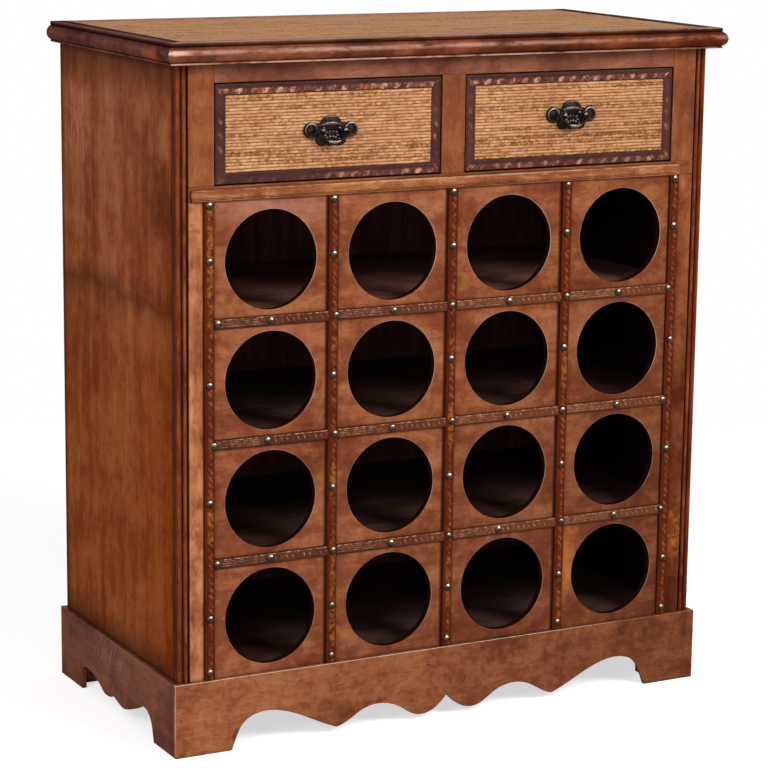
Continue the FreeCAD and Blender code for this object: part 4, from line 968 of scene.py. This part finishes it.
def woven_panel(node, name, finish, across_up, step, relief=1.0):
    """Rows of thin threads side by side along X, on a panel that faces the front or lies flat."""
    low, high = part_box(node)
    shape = blank("lift", "strand", "cord")
    span = (high - low)[across_up]
    rows = round(span / CORD_PITCH)
    pitch = span / rows
    luck = random.Random(node)
    marks = [mark(shape, label) for label in ("lift", "strand", "cord")]
    columns = int((high.x - low.x) / step)
    grid = []
    for row in range(rows):
        chance = luck.random()
        phase, twist = luck.random() * 6.28, luck.uniform(*TWISTS) * MM
        thickness = luck.uniform(*THICKNESSES)
        middle = low[across_up] + (row + 0.5) * pitch
        for offset in CORD_PROFILE + ((0.5,) if row == rows - 1 else ()):
            points = []
            for column in range(columns + 1):
                x = low.x + (high.x - low.x) * column / columns
                sway = SWAY * wobble(x, row * 0.37, low.y, SWAY_SIZE) * (abs(offset) != 0.5)
                swell = 1 + SWELL * wobble(x, row * 1.31, 0.5, SWELL_SIZE)
                arch = math.sqrt(max(0.0, 1 - (offset * 2) ** 2))
                turn = 2 * math.pi * x / twist + phase
                ridge = math.cos(turn - offset * 2.0) * (0.5 + 0.5 * wobble(x, row * 0.77, 0.2, 0.02))
                lift = arch * thickness * swell * (1 + 0.10 * ridge)
                rise = -SUNK + RISE * relief * (min(lift, HIGHEST_LIFT) - 1)
                across = middle + offset * pitch + sway
                upright, lying = (x, low.y - rise, across), (x, across, high.z + rise)
                vertex = shape.verts.new(upright if across_up == 2 else lying)
                for layer, value in zip(marks, (lift, 0.5 + 0.5 * ridge, chance)):
                    vertex[layer] = value
                points.append(vertex)
            grid.append(points)
    for first, second in zip(grid, grid[1:]):
        for index in range(columns):
            shape.faces.new((first[index], first[index + 1], second[index + 1], second[index]))
    rim = [edge for edge in shape.edges if len(edge.link_faces) == 1]
    back = bmesh.ops.extrude_edge_only(shape, edges=rim)["geom"]
    for vertex in (item for item in back if isinstance(item, bmesh.types.BMVert)):
        if across_up == 2:
            vertex.co.y = high.y
        else:
            vertex.co.z = low.z
    bmesh.ops.holes_fill(shape, edges=[edge for edge in shape.edges if len(edge.link_faces) == 1], sides=0)
    piece(name, shape, node, finish, crease=180, flat_faces=False)


woven_panel("top_weave", "top_grass", top_grass, 1, 3.8 * MM, relief=0.45)
for side in ("left", "right"):
    woven_panel("drawer_weave_" + side, "drawer_grass_" + side, drawer_grass, 2, 1.0 * MM)

# Leather strips

STRIP_SAMPLES = 19
EMBOSSED = 0.85
BORDER_WIDTH = 13.0
LINK, HOOK, LEAF = 8.6, 7.2, 16.4
GROUND, RAISED = 0.44, 0.56
LEAF_LEAN = math.radians(28)


def lines_of(across, *places, thread=0.55):
    return max(bell(abs(across) - place, thread) for place in places)


def chain_relief(across, along):
    """A braid of slanting links between smooth edges, the wider one at the left."""
    away = abs(across - 1.0)
    core = 1 - ease(away, 3.5, 4.2)
    turn = (along + 1.1 * (across - 1.0)) / LINK
    part = turn - math.floor(turn)
    link = math.sqrt(max(0.0, 1 - (2 * part - 1) ** 2))
    second = 0.5 + 0.5 * math.cos(4 * math.pi * (along - 1.2 * across) / LINK)
    braid = 0.20 + 0.56 * link ** 0.7 * (1 - (away / 4.6) ** 4) + 0.14 * second * bell(away, 2.4)
    smooth = 0.50 - 0.25 * bell(away - 4.2, 0.6)
    return smooth * (1 - core) + braid * core, core


def cross_relief(across, along):
    """Fine lines that turn into short hooks, under a frayed upper edge."""
    share = ease(along + 12 * wobble(along, 2.0, 0.0, 40.0), 46, 64)
    hooks = bell((along % HOOK) - HOOK / 2 + across * 0.5 + 1.4 * wobble(along, 0.0, 0.0, 9.0), 0.9)
    lines = 0.8 * lines_of(across, 0.4, 2.5) * (1 - share)
    frayed = bell(across - 4.7, 1.0) * (0.25 + 0.75 * ease(wobble(along, 5.0, 0.0, 5.0), -0.35, 0.25))
    raised = max(lines, 0.95 * hooks * bell(across, 4.2) * share, frayed)
    return GROUND + RAISED * raised - 0.2 * bell(across + 5.0, 0.8), 0.0


def border_relief(offset, full_strength, seed, bare=0.0):
    """Slanting leaves on a stem, offset from the middle, worn here and there, and faint as far as bare."""
    def relief(across, along):
        strength = full_strength * (1 - 0.75 * (1 - ease(along, bare - 40, bare + 30)) * (bare > 0))
        local = (along % LEAF) - LEAF / 2 + 1.5 * wobble(along, seed, 0.0, 14.0)
        kept = clamp(0.72 + 0.9 * wobble(along, seed, 3.0, 22.0), 0.25)
        away = across - offset
        length = local * math.cos(LEAF_LEAN) + away * math.sin(LEAF_LEAN)
        width = -local * math.sin(LEAF_LEAN) + away * math.cos(LEAF_LEAN)
        leaf = 1 - ease((length / 6.4) ** 2 + (width / 3.4) ** 2, 0.2, 1.0)
        stem = bell(away - 1.3 * math.sin(2 * math.pi * along / LEAF), 1.0)
        level = GROUND + RAISED * strength * kept * max(leaf, 0.4 * stem)
        level += 0.10 * lines_of(across, 5.0, thread=0.7)
        return level - 0.18 * bell(away + 3.6, 0.8), (1 - ease(abs(away), 2.6, 3.4)) * strength
    return relief


def embossed_strip(shape, start, along, across, size, relief, mitre=0):
    """A strip that faces the front, from the middle of its start. Its size is length, width and thickness."""
    length, width, thickness = (measured / MM for measured in size)
    half = width / 2
    count = max(2, int(length))
    rings = []
    for index in range(count + 1):
        ring = []
        for sample in range(STRIP_SAMPLES + 2):
            front = sample < STRIP_SAMPLES
            side = -half + width * sample / (STRIP_SAMPLES - 1)
            if not front:
                side = half * (2 * STRIP_SAMPLES + 1 - 2 * sample)
            cut = mitre * (side + half)
            run = cut + (length - 2 * cut) * index / count
            height, marks = 0.0, {}
            if front:
                level, core = relief(side, run)
                # The relief falls to nothing on the side faces, which the leather finish paints dark as shade
                round_off = math.sqrt(max(0.0, 1 - clamp(abs(side) - half + 1.0) ** 2))
                height = (thickness - EMBOSSED) + EMBOSSED * level * round_off - (1 - round_off) * 0.9
                marks = {"relief": level * round_off, "core": core}
            ring.append((start + (along * run + across * side - Y_WAY * height) * MM, marks))
        rings.append(ring)
    loft(shape, rings)


def islands(node):
    """Lowest and highest corner of each separate solid of a node."""
    shape = node_mesh(node)
    left = set(shape.verts)
    found = []
    while left:
        reached = [left.pop()]
        solid = list(reached)
        while reached:
            for vertex in {near for edge in reached.pop().link_edges for near in edge.verts} & left:
                left.discard(vertex)
                reached.append(vertex)
                solid.append(vertex)
        found.append([Vector(end(v.co[i] for v in solid) for i in range(3)) for end in (min, max)])
    shape.free()
    return sorted(found, key=lambda pair: (round(pair[0].z, 4), round(pair[0].x, 4)))


for number in range(1, 6):
    node = "upright_strip_%d" % number
    low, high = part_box(node)
    size = high - low
    shape = blank("relief", "core")
    embossed_strip(shape, Vector((low.x + size.x / 2, high.y, low.z)), Z_WAY, X_WAY, (size.z, size.x, size.y),
                   chain_relief)
    piece(node + "_leather", shape, node, strip_leather, crease=60, flat_faces=False)
shape = blank("relief", "core")
for low, high in islands("cross_strips"):
    size = high - low
    embossed_strip(shape, Vector((low.x, high.y, low.z + size.z / 2)), X_WAY, Z_WAY, (size.x, size.z, size.y),
                   cross_relief)
piece("cross_strips_leather", shape, "cross_strips", cross_leather, crease=60, flat_faces=False)


def drawer_border(side):
    """Four mitred strips round a drawer's woven panel."""
    node = "drawer_border_" + side
    low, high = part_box(node)
    size = high - low
    shape = blank("relief", "core")
    half = BORDER_WIDTH / 2 * MM
    bare = 150.0 if side == "left" else 0.0
    for start, along, across, relief in (
            ((low.x, high.y, low.z + half), X_WAY, Z_WAY, border_relief(-2.2, 0.72, 3.0, bare)),
            ((high.x, high.y, high.z - half), -X_WAY, -Z_WAY, border_relief(2.3, 0.95, 1.0)),
            ((low.x + half, high.y, high.z), -Z_WAY, X_WAY, border_relief(0.0, 0.28, 5.0)),
            ((high.x - half, high.y, low.z), Z_WAY, -X_WAY, border_relief(0.0, 0.36, 7.0))):
        measures = (abs(along.dot(size)), BORDER_WIDTH * MM, size.y)
        embossed_strip(shape, Vector(start), along, across, measures, relief, mitre=1)
    piece(node + "_leather", shape, node, border_leather, crease=60, flat_faces=False)


for side in ("left", "right"):
    drawer_border(side)

# Nails

ROUND = (1.0, 1.0)


def lathe(shape, centre, outwards, section, turns, across=X_WAY, squash=ROUND, top_highlight=0.0):
    """A turned form: radius, height and relief of rings from the middle on. Top highlight raises the relief of its
    upper side, a painted highlight.
    """
    side = (across - outwards * across.dot(outwards)).normalized()
    up = outwards.cross(side)
    widest = max(radius for radius, height, level in section)
    rings = []
    for radius, height, level in section:
        ring = []
        for number in range(turns):
            turn = 2 * math.pi * number / turns
            offset = side * math.cos(turn) * squash[0] + up * math.sin(turn) * squash[1]
            rubbed = level + top_highlight * math.sin(turn) * radius / widest
            ring.append((centre + offset * radius * MM + outwards * height * MM, {"relief": rubbed}))
        rings.append(ring)
    loft(shape, rings)


NAIL_RINGS = (0.02, 0.16, 0.32, 0.48, 0.64, 0.78, 0.89, 0.96, 1.0)
STRAY, TILT = (-0.3, 0.3), (-0.10, 0.10)
shape = blank("relief")
luck = random.Random("nails")
for low, high in islands("strip_nails"):
    middle = (low + high) / 2
    base = Vector((middle.x + luck.uniform(*STRAY) * MM, high.y, middle.z + luck.uniform(*STRAY) * MM))
    lean = (-Y_WAY + X_WAY * luck.uniform(*TILT) + Z_WAY * luck.uniform(*TILT)).normalized()
    radius = (high.x - low.x) / MM / 2 * luck.uniform(0.96, 1.0)
    height = (high.y - low.y) / MM * luck.uniform(0.9, 1.0)
    # The relief mark paints a highlight on the middle and upper side of each nail head
    section = [(radius * share, height * math.sqrt(max(0.0, 1 - (share * 0.985) ** 2.3)),
                0.62 - 0.45 * share ** 3) for share in NAIL_RINGS] + [(radius, -0.2, 0.0)]
    lathe(shape, base, lean, section, turns=20, top_highlight=0.75)
piece("nail_heads", shape, "strip_nails", nail_brass, crease=60, flat_faces=False)

# Pulls


def tube(shape, line, radii, turns=12, level=0.5, top=None):
    """A round bar along points, with a radius at each. Top gives the level of the painted highlight on its front
    at a place.
    """
    rings = []
    for index, (place, radius) in enumerate(zip(line, radii)):
        run = (line[min(len(line) - 1, index + 1)] - line[max(0, index - 1)]).normalized()
        side = (Y_WAY - run * Y_WAY.dot(run)).normalized()
        up = side.cross(run)
        ring = []
        for number in range(turns):
            turn = 2 * math.pi * number / turns
            away = side * math.cos(turn) + up * math.sin(turn)
            lifted = level + (top(place) - level) * clamp(-away.y) if top else level
            ring.append((place + away * radius * MM, {"relief": lifted}))
        rings.append(ring)
    loft(shape, rings)


RIM, RIM_STEPS = 0.8, 3


def rounded_disc(radius, thick):
    """Section of a flat disc with a rounded rim, whose relief paints a highlight on the rim."""
    section = [(0.05, thick, 0.35), (radius - RIM, thick, 0.4)]
    for step in range(1, RIM_STEPS + 1):
        turn = math.pi / 2 * step / RIM_STEPS
        section.append((radius - RIM + RIM * math.sin(turn), thick - RIM + RIM * math.cos(turn), 0.75))
    return section + [(radius, 0.0, 0.1)]


# Knobs and beads whose relief paints their tops bright as highlights
def tall_knob(size):
    return [(0.05, 3.0 + size, 1.0), (size * 0.6, 2.9 + size * 0.8, 1.0), (size, 3.0, 0.5), (size, 1.0, 0.1)]


def low_bead(size):
    return [(0.05, 2.8 + size * 0.8, 1.0), (size * 0.65, 2.8 + size * 0.5, 1.0), (size, 2.6, 0.6),
            (size, 1.0, 0.1)]


# The third value of each ring is its relief, which paints highlight rings on the bronze
EAR = [(0.05, 4.0, 0.2), (1.2, 3.9, 0.2), (2.3, 3.5, 0.15), (3.1, 2.9, 0.1), (3.5, 2.4, 0.0), (4.8, 2.1, 0.0),
       (5.6, 2.2, 0.1), (6.2, 2.9, 0.6), (7.0, 3.6, 0.95), (7.9, 3.6, 0.95), (8.6, 3.0, 0.6), (9.0, 2.0, 0.2),
       (9.0, 0.0, 0.0)]
CREST = [(0.05, 3.9, 0.3), (3.0, 3.8, 0.3), (5.4, 3.4, 0.3), (6.6, 3.0, 0.1), (7.6, 3.0, 0.5),
         (8.2, 2.6, 0.6), (8.5, 1.9, 0.3), (8.5, 0.0, 0.0)]
SHOULDER = [(0.05, 3.0, 0.3), (6.0, 3.0, 0.35), (7.0, 3.1, 0.7), (7.6, 2.6, 0.1), (8.2, 2.7, 0.3),
            (9.2, 2.8, 0.75), (11.3, 2.8, 0.75), (12.1, 2.5, 0.2), (12.6, 2.3, 0.05), (13.2, 2.7, 0.6),
            (14.2, 2.7, 0.7), (14.8, 2.3, 0.4), (15.0, 1.6, 0.2), (15.0, 0.0, 0.0)]
# What the plate is built of, and the mirror image of each: sideways, up, section, turns, squash and top highlight
PLATE = [(0, 7.4, CREST, 36, (1.5, 1.05), 0.4), (0, -2.0, SHOULDER, 48, ROUND, 0.25),
         (25, 0, EAR, 36, ROUND, 0.2), (11, -11.8, rounded_disc(6, 2.5), 24, (1.28, 1.0), 0.0),
         (15.8, 2.0, rounded_disc(5.6, 2.5), 24, (1.2, 1.0), 0.0),
         (11, -6, rounded_disc(7.5, 2.4), 24, ROUND, 0.0),
         (0, -6.8, rounded_disc(11.0, 2.4), 40, (1.25, 1.0), 0.0)]
PLATE += [(x, z, tall_knob(size), 12, ROUND, 0.3) for x, z, size in ((10.0, 2.2, 1.9), (9.4, -10.2, 1.4))]
PLATE += [(x, z, low_bead(size), 12, ROUND, 0.3) for x, z, size in (
    (6.4, -2.6, 1.3), (2.2, -1.6, 1.1), (7.6, -6.2, 1.8), (2.0, -7.6, 1.7), (5.4, -8.6, 1.7))]
BROW_HALF, BROW_RISE, BROW_DROP, BROW_RADIUS = 13.0, 7.6, 2.2, 3.1


def pull_plate(side, middle):
    """Cast plate: a ringed round under a crest, a ringed ear at each end, feet, knobs and a curved bar."""
    node = "pull_plate_" + side
    shape = blank("relief")
    for x, z, section, turns, squash, top_highlight in PLATE:
        for sign in (-1, 1) if x else (1,):
            centre = middle + (X_WAY * sign * x + Z_WAY * z) * MM
            lathe(shape, centre, -Y_WAY, section, turns=turns, squash=squash, top_highlight=top_highlight)
    arc = [math.sin(math.radians(turn)) for turn in range(-75, 76, 15)]
    line = [Vector((BROW_HALF * share, -1.4, BROW_RISE - BROW_DROP * share ** 2)) for share in arc]
    radii = [BROW_RADIUS * (1 - 0.6 * share ** 4) for share in arc]
    # The bar's front is painted bright as a highlight
    tube(shape, [middle + place * MM for place in line], radii, turns=16, top=lambda place: 0.90)
    piece(node + "_cast", shape, node, aged_bronze, crease=50, flat_faces=False)


POST_BALL, POST_APART, SHANK = 3.6, 14, 2.0
THICKEST_NUT = 4 * MM
COLLAR = [(2.05, 5.0, 0.5), (3.0, 4.6, 0.7), (3.6, 3.9, 0.5), (4.0, 2.4, 0.2), (4.0, 2.0, 0.0)]
NUT_SECTION = [(1.1, 0, 0.5), (1.38, -0.3, 0.7), (1.414, -0.8, 0.5), (1.414, -3.0, 0.2)]


def pull_posts(side, middle):
    """Two ball-headed posts with a collar on the plate, and their square nuts inside the drawer."""
    node = "pull_posts_" + side
    shape = blank("relief")
    low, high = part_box(node)
    pivot = low.y + POST_BALL * MM
    for sign in (-1, 1):
        foot = middle + X_WAY * sign * POST_APART * MM
        # The ball heads are painted bright on top as highlights
        section = [(POST_BALL * math.sin(math.radians(turn)), POST_BALL * math.cos(math.radians(turn)),
                    0.85 if turn < 60 else 0.45) for turn in (1, 15, 30, 45, 60, 75, 90, 105, 120, 135, 146)]
        section += [(SHANK, -POST_BALL, 0.2), (SHANK, -(high.y - pivot) / MM, 0.1)]
        lathe(shape, Vector((foot.x, pivot, foot.z)), -Y_WAY, section, turns=20, top_highlight=0.35)
        lathe(shape, foot, -Y_WAY, COLLAR, turns=20)
    for low, high in islands(node):
        if high.y - low.y < THICKEST_NUT:
            half = (high.x - low.x) / MM / 2
            lathe(shape, Vector(((low.x + high.x) / 2, high.y, (low.z + high.z) / 2)), Y_WAY,
                  [(half * share, height, level) for share, height, level in NUT_SECTION],
                  turns=4, across=X_WAY + Z_WAY)
    piece(node + "_turned", shape, node, aged_bronze, crease=50, flat_faces=False)


# Half of the bail from the grip to the pin: sideways, up and radius in millimetres
BAIL_LINE = [(0, -13.0, 3.2), (1.5, -12.95, 3.1), (2.9, -12.8, 2.3), (4.2, -12.6, 2.9), (5.6, -12.3, 2.0),
             (7.2, -11.9, 2.3), (9.0, -11.2, 1.8), (11.3, -9.9, 1.8), (13.2, -8.4, 1.8), (15.4, -6.7, 1.8),
             (17.6, -4.9, 1.9), (19.2, -3.0, 2.0), (19.9, -1.2, 2.0), (20.0, 0.0, 2.0), (19.7, 1.0, 1.5),
             (19.4, 1.5, 0.7)]
PIN_RUN, PIN_RADIUS = (15.4, 17.0, 19.5), 1.2


def pull_bail(side, pivot):
    """The bail, painted with a highlight in the middle of its grip, and its pins into the posts."""
    node = "pull_bail_" + side
    shape = blank("relief")
    line = [(-x, z, radius) for x, z, radius in BAIL_LINE[:0:-1]] + BAIL_LINE
    # The grip's middle is painted bright on its front as a highlight
    tube(shape, [pivot + Vector((x, 0, z)) * MM for x, z, radius in line], [radius for x, z, radius in line],
         turns=14, level=0.2, top=lambda place: 1.0 - 0.35 * ease(abs(place.x - pivot.x), 6.5 * MM, 9.5 * MM))
    for sign in (-1, 1):
        tube(shape, [pivot + X_WAY * sign * run * MM for run in PIN_RUN], [PIN_RADIUS] * len(PIN_RUN))
    piece(node + "_cast", shape, node, aged_bronze, crease=60, flat_faces=False)


for side in ("left", "right"):
    low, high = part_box("pull_plate_" + side)
    pivot = Vector(JOINTS[side + "_bail_hinge"]["pos_m"])
    middle = Vector(((low.x + high.x) / 2, high.y, pivot.z))
    pull_plate(side, middle)
    pull_posts(side, middle)
    pull_bail(side, pivot)

# Boards that stay as they are and get a finish

# The top shelf takes the lit tones and the lower shelves the shaded tones: painted light and shade
KEPT = [(lit_shelf_wood, ["bottle_shelf_3"]),
        (shaded_low_shelves, ["bottle_shelf_2", "bottle_shelf_1", "bottom_board"]),
        (inner_level, ["drawer_deck", "base_rail", "top_board"]),
        (inner_deep, ["drawer_guides", "drawer_kickers", "drawer_partition"]),
        (inner_upright, ["foot_blocks"]),
        (drawer_level, ["drawer_back_left", "drawer_back_right", "drawer_front_left", "drawer_front_right"]),
        (drawer_deep, ["drawer_sides_left", "drawer_sides_right",
                       "drawer_bottom_left", "drawer_bottom_right"])]
for finish, nodes in KEPT:
    for node in nodes:
        NODES[node].data.materials.clear()
        NODES[node].data.materials.append(finish)

# Stage

WHITE = (1.0, 1.0, 1.0)
FLOOR_GREY = (0.86, 0.86, 0.86)
FLOOR_LIFT, FLOOR_REACH = 0.62, 30.0
FADE_LENGTH = 4.0
ROOM_LIGHT = 0.30
LAMP_AIM = Vector((0, 0, 0.42))


def seen_directly():
    """1 where the camera, a reflection or glass sees the place, and 0 where only its light counts."""
    rays = add("LightPath").outputs
    seen = Value(rays["Is Camera Ray"])
    for kind in ("Is Glossy Ray", "Is Transmission Ray"):
        seen = worked_out("MAXIMUM", seen, Value(rays[kind]))
    return seen


def make_stage():
    """A pale floor that keeps the trunk's shadow and turns plain white further away."""
    finish = bpy.data.materials.new("pale_floor")
    empty_bench(finish)
    matte = out_of("BsdfDiffuse", {"Color": FLOOR_GREY})
    glow = out_of("Emission", {"Color": WHITE, "Strength": FLOOR_LIFT})
    white = out_of("Emission", {"Color": WHITE, "Strength": 1.0})
    away = out_of("VectorMath", {0: out_of("TexCoord", output="Object")}, "Value", operation="LENGTH")
    far = ramp(away * (1 / FADE_LENGTH), (0.16, 0.0), (0.42, 1.0), how="EASE")
    lit = out_of("MixShader", {0: out_of("LightPath", output="Is Camera Ray"), 1: matte,
                               2: out_of("AddShader", {0: matte, 1: glow})})
    add("OutputMaterial", {"Surface": out_of("MixShader", {0: far * seen_directly(), 1: lit, 2: white})})
    mesh = bpy.data.meshes.new("floor")
    corners = [(x * FLOOR_REACH, y * FLOOR_REACH, 0) for x, y in ((-1, -1), (1, -1), (1, 1), (-1, 1))]
    mesh.from_pydata(corners, [], [(0, 1, 2, 3)])
    mesh.materials.append(finish)
    floor = bpy.data.objects.new("floor", mesh)
    bpy.context.scene.collection.objects.link(floor)
    floor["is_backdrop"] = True


def make_world():
    """White where it is seen, and a soft even light otherwise."""
    world = bpy.data.worlds.new("studio")
    bpy.context.scene.world = world
    empty_bench(world)
    strength = seen_directly() * (1.0 - ROOM_LIGHT) + ROOM_LIGHT
    add("OutputWorld", {"Surface": out_of("Background", {"Color": WHITE, "Strength": strength})})


def lamp(name, azimuth, elevation, distance, size, power):
    """A soft square light. Azimuth 0 is straight in front, and positive is to the right."""
    made = bpy.data.lights.new(name, "AREA")
    made.shape = "SQUARE"
    made.size = size
    made.energy = power
    turn, rise = math.radians(azimuth), math.radians(elevation)
    away = Vector((math.sin(turn) * math.cos(rise), -math.cos(turn) * math.cos(rise), math.sin(rise)))
    light = bpy.data.objects.new(name, made)
    light.location = LAMP_AIM + away * distance
    light.rotation_mode = "QUATERNION"
    light.rotation_quaternion = (-away).to_track_quat("-Z", "Y")
    bpy.context.scene.collection.objects.link(light)


make_stage()
make_world()
lamp("key_light", 24, 34, 3.4, 1.3, 80)
lamp("left_light", -58, 24, 3.2, 1.5, 40)
bpy.context.scene.view_settings.view_transform = "Standard"

size = {"cad": [list(corner) for corner in CAD_BOX], "visual": [list(corner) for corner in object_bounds()]}
